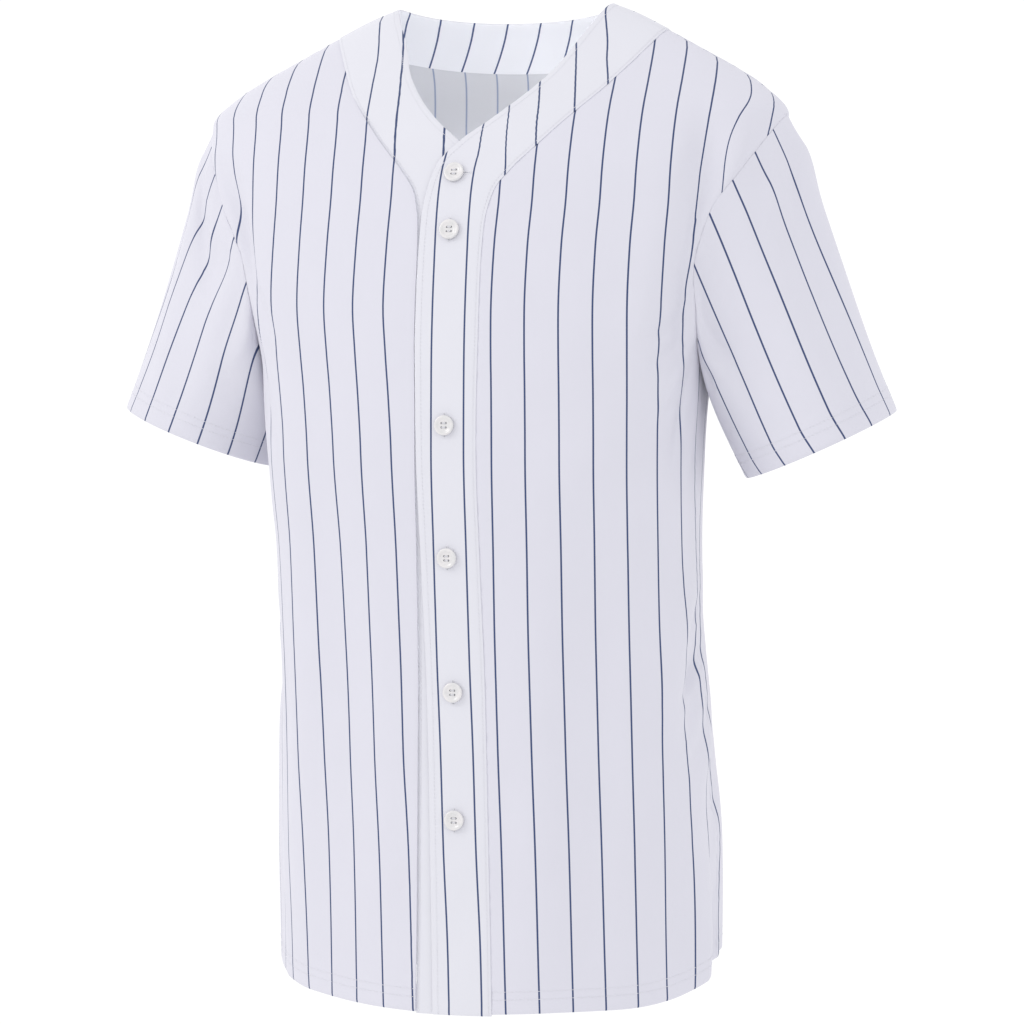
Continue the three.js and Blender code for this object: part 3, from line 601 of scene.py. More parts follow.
def edge_round(distance, width=0.8):
    """Thins a wall towards a folded edge, so that the edge is round."""
    return 1 - 0.55 * np.exp(-((distance / width) ** 2))


def pucker(along, distance, height, reach, seed):
    """Uneven small gathers beside a line of stitches."""
    draw = np.random.RandomState(seed)
    wave = np.zeros_like(along)
    for length in (9.0, 13.0, 21.0, 34.0):
        wave = wave + np.sin(2 * math.pi * along / (length * (0.85 + 0.3 * draw.rand())) + 6.3 * draw.rand())
    return height * wave / 4 * np.exp(-distance / reach)


ANGLE_STEP, HEIGHT_STEP = 0.5, 4.0
ARC_ANGLES = np.arange(0, 180.01, ANGLE_STEP)
ARC_HEIGHTS = np.arange(-800, 4, HEIGHT_STEP)


def arc_tables():
    """Level arc from the centre front, and from the centre back, for each height and angle."""
    grid = torso_form(ARC_ANGLES[None, :], ARC_HEIGHTS[:, None])
    from_front = distance_along(grid, 1)
    return from_front, from_front[:, -1:] - from_front


FRONT_ARC, BACK_ARC = arc_tables()


def look_up(table, angle, z):
    a = np.clip(angle / ANGLE_STEP, 0, len(ARC_ANGLES) - 1.001)
    h = np.clip((z - ARC_HEIGHTS[0]) / HEIGHT_STEP, 0, len(ARC_HEIGHTS) - 1.001)
    i, j = h.astype(int), a.astype(int)
    s, t = h - i, a - j
    low = table[i, j] * (1 - t) + table[i, j + 1] * t
    high = table[i + 1, j] * (1 - t) + table[i + 1, j + 1] * t
    return low * (1 - s) + high * s


drift = smooth_table(STRIPE_DRIFT, "z")
shoulder_bend = smooth_table(SHOULDER_BEND, "z")
sleeve_first_stripe = smooth_table(SLEEVE_FIRST_STRIPE, "down")


def arc_behind(angle, z):
    """Level arc from the centre back, less than nothing towards the right."""
    round_angle = np.where(angle > 180, 360 - angle, angle)
    return look_up(BACK_ARC, round_angle, z) * np.where(angle > 180, -1, 1)


def panel_uv(angle, z, which):
    """Across the cloth in stripe pitches, and along it in millimetres over the pitch."""
    if which == "back":
        across = (arc_behind(angle, z) - FIRST_STRIPE["back"]) / PITCH
    else:
        arc = look_up(FRONT_ARC, np.abs(angle), z) * np.sign(angle)
        across = (arc + drift[which](z) - FIRST_STRIPE[which]) / PITCH
        if which == "right":
            across = np.minimum(across, 0.6)
        else:
            near = np.exp(-(((across - SHOULDER_STRIPE) / SHOULDER_SPREAD) ** 2))
            near = near * (z > SHOULDER_BEND["z"][0])
            across = across + near * shoulder_bend["across"](z) / PITCH
    return np.stack([across, z / PITCH], -1)


def front_band_uv(side, x, z):
    """The same on a front band, from the lines of its stripes."""
    heights = BAND_STRIPES[side]["z"]
    level = np.clip(z, heights[0], heights[-1])
    lines = [smooth_through(heights, line)(level) for line in BAND_STRIPES[side]["lines"]]
    out = x * side
    across = np.minimum((out - lines[0]) / PITCH, 0)
    for near, far in zip(lines, lines[1:]):
        across = across + np.clip((out - near) / (far - near), 0, 1)
    across = across + np.clip((out - lines[-1]) / PITCH, 0, 0.45)
    return np.stack([across, z / PITCH], -1)


def ready(obj, nodes):
    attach(obj, "root")
    if nodes:
        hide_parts(*nodes)
    return obj


# Materials


def principled(name, color, roughness, **values):
    material = bpy.data.materials.new(name)
    material.use_nodes = True
    shader = material.node_tree.nodes["Principled BSDF"]
    shader.inputs["Base Color"].default_value = (*color, 1)
    shader.inputs["Roughness"].default_value = roughness
    for key, value in values.items():
        shader.inputs[key.replace("_", " ")].default_value = value
    return material, shader


def math_node(tree, operation, a, b=0.5):
    node = tree.nodes.new("ShaderNodeMath")
    node.operation = operation
    for socket, value in zip(node.inputs, (a, b)):
        if isinstance(value, (int, float)):
            socket.default_value = value
        else:
            tree.links.new(value, socket)
    return node.outputs[0]


def ramp(tree, value, low, high, at_low, at_high):
    node = tree.nodes.new("ShaderNodeMapRange")
    node.interpolation_type = "SMOOTHSTEP"
    tree.links.new(value, node.inputs["Value"])
    for key, number in zip(("From Min", "From Max", "To Min", "To Max"), (low, high, at_low, at_high)):
        node.inputs[key].default_value = number
    return node.outputs["Result"]


def mixed_color(tree, factor, a, b):
    node = tree.nodes.new("ShaderNodeMix")
    node.data_type = "RGBA"
    tree.links.new(factor, node.inputs["Factor"])
    for socket, value in ((node.inputs[6], a), (node.inputs[7], b)):
        if isinstance(value, tuple):
            socket.default_value = (*value, 1)
        else:
            tree.links.new(value, socket)
    return node.outputs[2]


STRIPE_WIDTH, STRIPE_SOFT = 1.4, 0.16
WALES, COURSES = 26, 30
NAVY = (0.006, 0.03, 0.125)


def striped_cloth(name, ground, stripe, stripe_strength):
    """Smooth knit with thin stripes one pitch apart across the cut."""
    surface = {"Specular_IOR_Level": 0.3, "Sheen_Weight": 0.12, "Sheen_Roughness": 0.5}
    material, shader = principled(name, ground, 0.72, **surface)
    tree = material.node_tree
    cut = tree.nodes.new("ShaderNodeUVMap")
    cut.uv_map = "cut"
    split = tree.nodes.new("ShaderNodeSeparateXYZ")
    tree.links.new(cut.outputs["UV"], split.inputs["Vector"])
    across, along = split.outputs["X"], split.outputs["Y"]
    nearness = math_node(tree, "PINGPONG", across, 0.5)
    half = STRIPE_WIDTH / 2 / PITCH
    soft = STRIPE_SOFT / PITCH
    line = ramp(tree, nearness, half - soft, half + soft, stripe_strength, 0)

    cloud = tree.nodes.new("ShaderNodeTexNoise")
    cloud.inputs["Scale"].default_value = 0.55
    cloud.inputs["Detail"].default_value = 3
    tree.links.new(cut.outputs["UV"], cloud.inputs["Vector"])
    shade = tuple(0.965 * c for c in ground)
    base = mixed_color(tree, cloud.outputs["Fac"], shade, ground)
    ink = tree.nodes.new("ShaderNodeTexNoise")
    ink.inputs["Scale"].default_value = 30
    tree.links.new(cut.outputs["UV"], ink.inputs["Vector"])
    lighter = tuple(0.9 * s + 0.1 * g for s, g in zip(stripe, ground))
    print_color = mixed_color(tree, ink.outputs["Fac"], stripe, lighter)
    tree.links.new(mixed_color(tree, line, base, print_color), shader.inputs["Base Color"])

    # Columns of knit loops, and rows across them, so many to a pitch.
    wales = math_node(tree, "SINE", math_node(tree, "MULTIPLY", across, 2 * math.pi * WALES))
    courses = math_node(tree, "SINE", math_node(tree, "MULTIPLY", along, 2 * math.pi * COURSES))
    knit = math_node(tree, "MULTIPLY", wales, courses)
    bump = tree.nodes.new("ShaderNodeBump")
    bump.inputs["Strength"].default_value = 0.12
    bump.inputs["Distance"].default_value = 0.00012
    tree.links.new(knit, bump.inputs["Height"])
    tree.links.new(bump.outputs["Normal"], shader.inputs["Normal"])
    return material


WHITE_CLOTH = (0.655, 0.65, 0.725)
outside = striped_cloth("striped_knit", WHITE_CLOTH, NAVY, 1.0)
# The reverse's ground is a little darker and greyer than the face: painted shade for the inside of the
# jersey. Its faded stripes are the print showing through.
reverse_with_painted_shade = striped_cloth("striped_knit_reverse_painted_shade", (0.63, 0.635, 0.665), (0.19, 0.25, 0.41), 0.8)
band_outside = striped_cloth("band_knit", (0.685, 0.685, 0.745), NAVY, 1.0)
# The bands' reverse is much lighter than their face: painted light on the inside of the bands, chiefly the
# back band seen through the neck.
band_reverse_painted_light = striped_cloth("band_knit_reverse_painted_light", (0.84, 0.845, 0.88), (0.02, 0.05, 0.17), 1.0)
thread, _ = principled("white_thread", (0.66, 0.66, 0.71), 0.5, Sheen_Weight=0.2)
# The slit's dark grey is painted shade: it stands in for the shadow in the gap of each buttonhole's cut.
slit, _ = principled("buttonhole_slit_painted_shade", (0.4, 0.41, 0.46), 0.9)


def pearl_material():
    material, shader = principled(
        "pearl_button", (0.7, 0.69, 0.7), 0.24, Coat_Weight=0.5, Coat_Roughness=0.12, Specular_IOR_Level=0.55
    )
    tree = material.node_tree
    place = tree.nodes.new("ShaderNodeTexCoord")
    cloud = tree.nodes.new("ShaderNodeTexNoise")
    cloud.inputs["Scale"].default_value = 160
    cloud.inputs["Detail"].default_value = 2
    tree.links.new(place.outputs["Object"], cloud.inputs["Vector"])
    tint = ramp(tree, cloud.outputs["Fac"], 0.35, 0.65, 0, 1)
    color = mixed_color(tree, tint, (0.72, 0.7, 0.71), (0.66, 0.655, 0.665))
    tree.links.new(color, shader.inputs["Base Color"])
    return material


pearl = pearl_material()


# Panels


def hem_pucker(kind, along, from_edge, seed):
    """Gathers that fade away from the middle of the hem's lines of stitches."""
    middle = sum(HEM_STITCHES[kind]) / 2
    near = np.exp(-(((from_edge - middle) / HEM_PUCKER_SPREAD) ** 2))
    return pucker(along, np.zeros_like(along), *HEM_PUCKERS[kind], seed) * near


def torso_panel(name, places, which, armholes, seed):
    """A panel, with the columns that meet an armhole as (column, side, is it in front)."""
    angle, z = places
    points = torso_surface(angle, z)
    normals = torso_normal(angle, z)
    distances = edge_distances(points)
    proud = np.zeros(angle.shape)
    for edge, axis in (("first", 0), ("last", 0), ("top", 1)):
        along = distance_along(points, axis)
        proud = proud + seam_dip(distances[edge])
        proud = proud + pucker(along, distances[edge], *SEAM_PUCKER, seed + len(edge))
    proud = proud + hem_pucker("body", distance_along(points, 1), distances["bottom"], seed + 9)
    wall = np.where(distances["bottom"] < CLOTH["hem_depth"], CLOTH["hem_wall"], CLOTH["wall"])
    rounding = edge_round(distances["bottom"])
    proud = proud - 0.5 * wall * (1 - rounding)
    wall = wall * rounding
    outer = points + normals * proud[..., None]
    low = next(k for k, row in enumerate(body_rows()) if not row[0]) - 1
    shares = np.array([row[1] for row in body_rows()][low:])
    shares[0] = 0
    for column, side, front in armholes:
        seam, radial, across = armhole_seam(side, 1 - shares if front else 1 + shares)
        outer[low:, column] = seam - across * ARMHOLE_OPEN - radial * ARMHOLE_SINK
        normals[low:, column] = unit(ARMHOLE_LEAN * radial + normals[low:, column])
    obj = shell(name + "_cloth", outer, normals, wall, panel_uv(angle, z, which), [outside, reverse_with_painted_shade])
    ready(obj, [name])
    return obj, outer, normals, distances


BACK_ARMHOLES = [(0, 1, False), (-1, -1, False)]
pieces = {
    "front_left": torso_panel("front_left", front_places(1), "left", [(-1, 1, True)], 3),
    "front_right": torso_panel("front_right", front_places(-1), "right", [(-1, -1, True)], 5),
    "back": torso_panel("back", back_places(), "back", BACK_ARMHOLES, 7),
}


# Bands


def folded_edge(distance):
    """A soft swell beside a folded edge, and the groove of its stitches."""
    swell = 0.25 * np.exp(-(((distance - 2) / 1.8) ** 2))
    return swell - 0.22 * np.exp(-(((distance - EDGE_STITCH) / 0.9) ** 2))


def front_band(side):
    shares = even_columns(13, (0.15, 0.5))
    rows = body_rows()
    seam = np.array([band_edge(below, share, side, "seam") for below, share in rows])
    edge = np.array([band_edge(below, share, side, "edge") for below, share in rows])
    angle = seam[:, :1] + (edge[:, :1] - seam[:, :1]) * shares
    z = seam[:, 1:] + (edge[:, 1:] - seam[:, 1:]) * shares
    points = torso_surface(angle, z)
    normals = torso_normal(angle, z)
    distances = edge_distances(points)
    proud = np.full(angle.shape, CLOTH["band_proud"])
    if side < 0:
        under = np.clip((z - OVERLAP["clear_z"]) / (OVERLAP["under_z"] - OVERLAP["clear_z"]), 0, 1)
        proud = proud - OVERLAP["drop"] * under**2 * (3 - 2 * under)
    proud = proud + folded_edge(distances["last"]) + seam_dip(distances["first"]) + seam_dip(distances["top"])
    if side > 0:
        proud = proud + pucker(distance_along(points, 0), distances["last"], *PLACKET_PUCKER, 20)
    wall = CLOTH["band_wall"]
    rounding = edge_round(distances["last"]) * edge_round(distances["bottom"])
    proud = proud - 0.5 * wall * (1 - rounding)
    outer = points + normals * proud[..., None]
    name = "band_left" if side > 0 else "band_right"
    uv = front_band_uv(side, points[..., 0], z)
    obj = shell(name + "_cloth", outer, normals, wall * rounding, uv, [band_outside, band_reverse_painted_light])
    ready(obj, [name])
    return obj, outer, normals, distances


def back_band():
    shares = even_columns(13, (0.15, 0.5))
    ends = even_columns(90)
    angle = (90 + 180 * ends)[:, None] + 0 * shares
    low, high = back_neck_z(angle, "seam"), back_neck_z(angle, "edge")
    z = low + (high - low) * shares
    points = torso_surface(angle, z)
    normals = torso_normal(angle, z)
    distances = edge_distances(points)
    proud = CLOTH["band_proud"] + folded_edge(distances["last"])
    for edge in ("first", "bottom", "top"):
        proud = proud + seam_dip(distances[edge])
    rounding = edge_round(distances["last"])
    wall = CLOTH["band_wall"]
    outer = points + normals * (proud - 0.5 * wall * (1 - rounding))[..., None]
    arc = arc_behind(angle, z) - BACK_BAND_LEAN * (z - (BACK_NECK["seam_z"] + BACK_NECK["edge_z"]) / 2)
    uv = np.stack([(arc - BACK_BAND_FIRST) / BACK_BAND_PITCH, z / PITCH], -1)
    obj = shell("band_back_cloth", outer, normals, wall * rounding, uv, [band_outside, band_reverse_painted_light])
    ready(obj, ["band_back"])
    return obj, outer, normals, distances


pieces["band_left"] = front_band(1)
pieces["band_right"] = front_band(-1)
pieces["band_back"] = back_band()


# Sleeves


def sleeve_axes(side):
    tilt, dip = CUFF[side]["tilt"] * DEGREE, CUFF[side]["dip"] * DEGREE
    axis = np.array([side * math.sin(tilt), 0, -math.cos(tilt)])
    top = np.array([side * math.cos(tilt), 0, math.sin(tilt)])
    front = np.array([0.0, -1.0, 0.0])
    return axis * math.cos(dip) - front * math.sin(dip), top, front * math.cos(dip) + axis * math.sin(dip)


def cuff_point(side, angle):
    _, top, front = sleeve_axes(side)
    cos, sin = np.cos(angle * DEGREE)[..., None], np.sin(angle * DEGREE)[..., None]
    cuff = CUFF[side]
    return np.array(cuff["centre"]) + top * cuff["half_width"] * cos + front * cuff["half_depth"] * sin


def sleeve_form(side, angle, down):
    axis, top, _ = sleeve_axes(side)
    angle, down = np.broadcast_arrays(np.asarray(angle, float), np.asarray(down, float))
    start, end = armhole_loop(side, angle / 180), cuff_point(side, angle)
    length = np.linalg.norm(end - start, axis=-1)[..., None]
    under = (0.5 - 0.5 * np.cos(angle * DEGREE))[..., None]
    leave = axis - top * UNDERARM_SWELL * under
    s = down[..., None]
    return (
        start * (1 + 2 * s) * (1 - s) ** 2
        + leave * length * s * (1 - s) ** 2
        + end * s * s * (3 - 2 * s)
        - axis * length * s * s * (1 - s)
    )


def sleeve_inside(side, angle, down):
    centre, cuff = ARMHOLE_CENTRE[side], np.array(CUFF[side]["centre"], float)
    down = np.broadcast_arrays(np.asarray(angle, float), np.asarray(down, float))[1][..., None]
    return centre + (cuff - centre) * down


def sleeve_surface(side, angle, down):
    def form(a, b):
        return sleeve_form(side, a, b)

    normal = outward(form, angle, down, 2.0, 0.01, sleeve_inside(side, angle, down))
    height = 0
    for a, down_0, to_a, to_down, width, depth in SLEEVE_FOLDS[side] + SLEEVE_CREASES[side]:
        x = turn(a, angle) * SLEEVE_GIRTH
        run_x = turn(a, to_a) * SLEEVE_GIRTH
        height = height + fold_height(x, down * SLEEVE_LENGTH - down_0, run_x, to_down - down_0, width, depth)
    height = height * np.clip(down / FOLD_FREE, 0, 1)
    return form(angle, down) + normal * height[..., None]


def cuff_arc(side, cosine):
    """Arc along the front of the cuff's ellipse, from its middle towards the top line."""
    cuff = CUFF[side]
    theta = np.linspace(0, math.pi, 721)
    steps = np.hypot(cuff["half_width"] * np.diff(np.cos(theta)), cuff["half_depth"] * np.diff(np.sin(theta)))
    arc = np.concatenate([[0], np.cumsum(steps)])
    arc = arc[360] - arc
    return np.interp(np.arccos(np.clip(cosine, -1, 1)), theta, arc), arc[0] - arc[-1]


def sleeve(side):
    """A sleeve, with its columns from the top line round the front."""
    around, rows = 220, 110
    angle = (360 * np.arange(around) / around)[None, :]
    seam, radial, across = armhole_seam(side, angle[0] / 180)
    length = np.linalg.norm(seam - cuff_point(side, angle[0]), axis=-1)[None, :]
    turn_up = 1 - CLOTH["hem_depth"] / length
    body = np.concatenate([[0, 0.4, 1.1], np.arange(2, rows)])[:, None] / rows
    hem = np.concatenate([np.linspace(0, 1, 7)[1:-1], [0.965, 0.99, 1]])[:, None]
    down = np.concatenate([body * turn_up, turn_up, turn_up + (1 - turn_up) * hem])
    angle = angle + 0 * down
    points = sleeve_surface(side, angle, down)

    def surface(a, b):
        return sleeve_surface(side, a, b)

    normals = outward(surface, angle, down, 1.2, 0.006, sleeve_inside(side, angle, down))
    distances = edge_distances(points)
    from_cuff = distances["top"]
    along = distance_along(points, 1)
    proud = seam_dip(distances["bottom"], 0.3)
    proud = proud + pucker(along, distances["bottom"], *SEAM_PUCKER, 40 + side)
    proud = proud + hem_pucker("cuff", along, from_cuff, 44 + side)
    wall = np.where(from_cuff < CLOTH["hem_depth"], CLOTH["hem_wall"], CLOTH["wall"])
    rounding = edge_round(from_cuff)
    proud = proud - 0.5 * wall * (1 - rounding)
    outer = points + normals * proud[..., None]
    outer[0] = seam + across * ARMHOLE_OPEN - radial * ARMHOLE_SINK
    normals[0] = unit(ARMHOLE_LEAN * radial + normals[0])

    cuff = CUFF[side]
    offset = sleeve_form(side, angle, down) - np.array(cuff["centre"])
    a = offset @ sleeve_axes(side)[1] / cuff["half_width"]
    b = -offset[..., 1] / cuff["half_depth"]
    reach = np.maximum(np.hypot(a, b), 1e-6)
    straight = np.abs(a / reach) ** 6
    cosine = a * (1 - straight) + a / reach * straight
    arc, half_girth = cuff_arc(side, cosine)
    arc = np.where(b >= 0, arc, half_girth - arc)
    uv = np.stack([(arc - sleeve_first_stripe[side](down)) / PITCH, down * SLEEVE_LENGTH / PITCH], -1)
    name = "sleeve_left" if side > 0 else "sleeve_right"
    obj = shell(name + "_cloth", outer, normals, wall * rounding, uv, [outside, reverse_with_painted_shade], closed=True)
    ready(obj, [name])
    return obj, outer, normals, distances


pieces["sleeve_left"] = sleeve(1)
pieces["sleeve_right"] = sleeve(-1)


# Sewing


def along_line(points, normals, step):
    """Points at even steps along a line, with its direction and the cloth's normal there."""
    lengths = np.concatenate([[0], np.cumsum(np.linalg.norm(np.diff(points, axis=0), axis=1))])
    at = np.arange(step / 2, lengths[-1] - step / 2, step)
    place = np.stack([np.interp(at, lengths, points[:, k]) for k in range(3)], -1)
    normal = unit(np.stack([np.interp(at, lengths, normals[:, k]) for k in range(3)], -1))
    ahead = np.stack([np.interp(at + 0.5, lengths, points[:, k]) for k in range(3)], -1)
    return place, unit(ahead - place), normal


STITCH_STEP, STITCH_LENGTH, STITCH_RADIUS = 2.9, 2.2, 0.2


def tube_faces(rings, sides, start=0):
    """Faces from each ring of points to the next one."""
    faces = []
    for ring in range(rings - 1):
        for k in range(sides):
            a, b = start + ring * sides + k, start + ring * sides + (k + 1) % sides
            faces.append((a, b, b + sides, a + sides))
    return faces


def capsules(places, directions, normals, length, radius, lift):
    """Rods with round ends, one at each place, as one mesh."""
    rings = [(-0.5, 0.35), (-0.38, 0.9), (0, 1.0), (0.38, 0.9), (0.5, 0.35)]
    sides = 6
    turnings = np.arange(sides) * 2 * math.pi / sides
    across = unit(np.cross(directions, normals))
    lifted = unit(np.cross(across, directions))
    vertices = []
    for at, size in rings:
        for theta in turnings:
            offset = across * math.cos(theta) + lifted * math.sin(theta)
            bow = (1 - (2 * at) ** 2) * radius * 0.6
            middle = places + directions * at * length
            vertices.append(middle + offset * radius * size + lifted * (lift + bow))
    vertices = np.stack(vertices, 1)
    count = len(rings) * sides
    faces = np.array(tube_faces(len(rings), sides))
    last = count - sides
    caps = [tuple(range(sides))[::-1], tuple(range(last, last + sides))]
    starts = np.arange(len(places)) * count
    quads = (faces[None] + starts[:, None, None]).reshape(-1, 4).tolist()
    quads += [tuple(s + v for v in cap) for s in starts.tolist() for cap in caps]
    return vertices.reshape(-1, 3), quads


def inset_line(piece, edge, distance, span=None):
    """The line on a piece's outer skin at a distance from one of its edges."""
    _, outer, normals, distances = piece
    d = distances[edge]
    if edge in ("bottom", "top"):
        outer, normals, d = outer.transpose(1, 0, 2), normals.transpose(1, 0, 2), d.T
    if edge in ("last", "top"):
        outer, normals, d = outer[:, ::-1], normals[:, ::-1], d[:, ::-1]
    line, line_normals = [], []
    for row in range(len(d)):
        k = min(int(np.searchsorted(d[row], distance)), d.shape[1] - 1)
        s = (distance - d[row, k - 1]) / max(d[row, k] - d[row, k - 1], 1e-6)
        line.append(outer[row, k - 1] * (1 - s) + outer[row, k] * s)
        line_normals.append(normals[row, k - 1] * (1 - s) + normals[row, k] * s)
    line, line_normals = np.array(line), np.array(line_normals)
    if span:
        count = len(line)
        line, line_normals = (v[int(span[0] * count) : int(span[1] * count)] for v in (line, line_normals))
    return line, line_normals


def stitching(name, lines):
    all_vertices, all_faces, start = [], [], 0
    for points, normals in lines:
        place, direction, normal = along_line(points, normals, STITCH_STEP)
        vertices, faces = capsules(place, direction, normal, STITCH_LENGTH, STITCH_RADIUS, 0.02)
        all_vertices.append(vertices)
        all_faces += [tuple(v + start for v in face) for face in faces]
        start += len(vertices)
    obj = new_object(name, np.concatenate(all_vertices), all_faces, [thread])
    return ready(obj, [])


def closed_line(line):
    return tuple(np.concatenate([part, part[:1]]) for part in line)


# Of the right band's free edge only the part above the overlap shows.
SHOWN_SPANS = {"band_left": None, "band_right": (0.78, 1), "band_back": None}
for name in ("front_left", "front_right", "back"):
    lines = [inset_line(pieces[name], "bottom", distance) for distance in HEM_STITCHES["body"]]
    stitching(name + "_stitches", lines)
for name in ("sleeve_left", "sleeve_right"):
    lines = [closed_line(inset_line(pieces[name], "top", distance)) for distance in HEM_STITCHES["cuff"]]
    stitching(name + "_stitches", lines)
for name, span in SHOWN_SPANS.items():
    edges = (("last", EDGE_STITCH, span), ("first", SEAM_STITCH, None))
    lines = [inset_line(pieces[name], *edge) for edge in edges]
    stitching(name + "_stitches", lines)


# Buttons, their thread and the buttonholes


def button_frame(x, z):
    angle = angle_at(x, z)
    normal = torso_normal(angle, np.asarray(float(z)))
    point = torso_surface(angle, np.asarray(float(z)))
    side = unit(np.cross(np.array([0, 0, 1.0]), normal))
    return point, side, unit(np.cross(normal, side)), normal


def placed(vertices, frame_of, lift):
    point, side, up, normal = frame_of
    v = np.asarray(vertices, float)
    return point + v[:, :1] * side + v[:, 1:2] * up + (v[:, 2:] + lift) * normal


def lathe(profile, sides):
    turnings = np.arange(sides) * 2 * math.pi / sides
    vertices = [(0, 0, profile[0][1])]
    for radius, height in profile[1:-1]:
        vertices += [(radius * math.cos(t), radius * math.sin(t), height) for t in turnings]
    vertices.append((0, 0, profile[-1][1]))
    faces = [(0, 1 + (k + 1) % sides, 1 + k) for k in range(sides)]
    faces += tube_faces(len(profile) - 2, sides, 1)
    low = 1 + (len(profile) - 3) * sides
    faces += [(low + k, low + (k + 1) % sides, len(vertices) - 1) for k in range(sides)]
    return vertices, faces


def plain_mesh(name, vertices, faces):
    mesh = bpy.data.meshes.new(name)
    mesh.from_pydata([list(v) for v in vertices], [], faces)
    obj = bpy.data.objects.new(name, mesh)
    bpy.context.scene.collection.objects.link(obj)
    return obj


def holed_button():
    """One button in millimetres, lying on z = 0, as vertices and faces."""
    r, t = BUTTON_RADIUS, BUTTON_THICKNESS
    profile = [(0, 0), (r - 1.1, 0), (r - 0.4, 0.25), (r, 0.9), (r, t - 1.0), (r - 0.15, t - 0.45)]
    profile += [(r - 0.5, t - 0.1), (r - 1.0, t), (r - 1.6, t - 0.05), (r - 2.2, t - 0.35)]
    profile += [(r - 2.9, t - 0.8), (r - 3.8, t - 1.05), (0, t - DISH_DEPTH)]
    body = plain_mesh("button_body", *lathe(profile, 64))
    vertices, faces = [], []
    for x, y in ((1, 1), (1, -1), (-1, 1), (-1, -1)):
        hole, hole_faces = lathe([(0, -1), (HOLE_RADIUS, -1), (HOLE_RADIUS, t + 1), (0, t + 1)], 20)
        start = len(vertices)
        vertices += [(v[0] + x * HOLE_OFFSET, v[1] + y * HOLE_OFFSET, v[2]) for v in hole]
        faces += [tuple(i + start for i in face) for face in hole_faces]
    cutter = plain_mesh("button_holes", vertices, faces)
    cut = body.modifiers.new("holes", "BOOLEAN")
    cut.operation, cut.object, cut.solver = "DIFFERENCE", cutter, "EXACT"
    graph = bpy.context.evaluated_depsgraph_get()
    made = body.evaluated_get(graph).to_mesh()
    result = np.array([v.co[:] for v in made.vertices]), [tuple(p.vertices) for p in made.polygons]
    for obj in (body, cutter):
        bpy.data.objects.remove(obj, do_unlink=True)
    return result


BUTTON_MESH = holed_button()


def rod(points, radius, sides=8):
    """A closed round rod through points, as vertices and faces."""
    points = np.asarray(points, float)
    ahead = unit(np.gradient(points, axis=0))
    hint = np.array([0.0, 0.0, 1.0])
    across = unit(np.cross(ahead, hint) + 1e-9)
    other = unit(np.cross(ahead, across))
    vertices = []
    for k, p in enumerate(points):
        size = radius * (0.5 if k in (0, len(points) - 1) else 1)
        for t in np.arange(sides) * 2 * math.pi / sides:
            vertices.append(p + size * (across[k] * math.cos(t) + other[k] * math.sin(t)))
    faces = [tuple(range(sides))[::-1], *tube_faces(len(points), sides)]
    last = (len(points) - 1) * sides
    faces.append(tuple(range(last, last + sides)))
    return vertices, faces


def joined(parts):
    vertices, faces = [], []
    for part_vertices, part_faces in parts:
        start = len(vertices)
        vertices += [tuple(v) for v in part_vertices]
        faces += [tuple(i + start for i in face) for face in part_faces]
    return vertices, faces


def button_thread():
    """Two bars of thread across the dish, each going down into a pair of holes."""
    bars = []
    top = BUTTON_THICKNESS - DISH_DEPTH
    x = HOLE_OFFSET
    for y in (-HOLE_OFFSET, HOLE_OFFSET):
        for strand in (-0.22, 0.22):
            bend = [(-x, top - 1.2), (-x, top + 0.05), (-x * 0.7, top + 0.32), (0, top + 0.4)]
            bend += [(-a, b) for a, b in bend[:-1][::-1]]
            bars.append(rod([(a, y + strand, b) for a, b in bend], 0.2))
    return joined(bars)


def stadium(half_length, half_width, points):
    """Points round a slit with round ends."""
    line = []
    straight = half_length - half_width
    for k in range(points):
        t = 2 * math.pi * k / points
        bend = math.copysign(straight, math.cos(t)) if abs(math.cos(t)) > 1e-9 else 0
        line.append((bend + half_width * math.cos(t), half_width * math.sin(t)))
    return line


def buttonhole_ring(half_length, half_width, radius):
    """Close satin stitches round a slit: a ring of short thick turns of thread."""
    outline = stadium(half_length, half_width, 48)
    outline = np.array(outline + outline[:1])
    lengths = np.concatenate([[0], np.cumsum(np.hypot(*np.diff(outline, axis=0).T))])
    count, sides = 120, 6
    at = np.arange(count) * lengths[-1] / count
    ring = np.stack([np.interp(at, lengths, outline[:, k]) for k in range(2)], -1)
    straight = half_length - half_width
    vertices, faces = [], []
    for k, (x, y) in enumerate(ring):
        out = unit(np.array([x - np.clip(x, -straight, straight), y]))
        size = radius * (1.12 if k % 2 else 0.88)
        for t in np.arange(sides) * 2 * math.pi / sides:
            reach = size * math.cos(t)
            vertices.append((x + out[0] * reach, y + out[1] * reach, 0.6 * size * math.sin(t)))
    for k in range(count):
        following = (k + 1) % count
        for t in range(sides):
            turned = (t + 1) % sides
            corners = ((k, t), (k, turned), (following, turned), (following, t))
            faces.append(tuple(ring_at * sides + place for ring_at, place in corners))
    return vertices, faces


def add_on_front(name, mesh, frame_of, lift, material, nodes):
    vertices, faces = mesh
    obj = new_object(name, placed(vertices, frame_of, lift), faces, [material], sharp=35)
    return ready(obj, nodes)


def bent_to_band(vertices, x, z, lift):
    """Lays a flat shape (across, up, out) on the band, following its surface."""
    vertices = np.asarray(vertices, float)
    height = z + vertices[:, 1]
    angle = angle_at(x + vertices[:, 0], height)
    out = CLOTH["band_proud"] + lift + vertices[:, 2]
    return torso_surface(angle, height) + torso_normal(angle, height) * out[:, None]


def buttonhole_part(name, mesh, x, z, lift, level, material):
    """Thread or slit of a buttonhole, upright on the band, or level and beside its button."""
    vertices, faces = mesh
    flat = np.asarray(vertices, float)
    flat = flat + np.array([BUTTONHOLE["shift"], 0, 0]) if level else flat[:, [1, 0, 2]]
    ready(new_object(name, bent_to_band(flat, x, z, lift), faces, [material]), [])


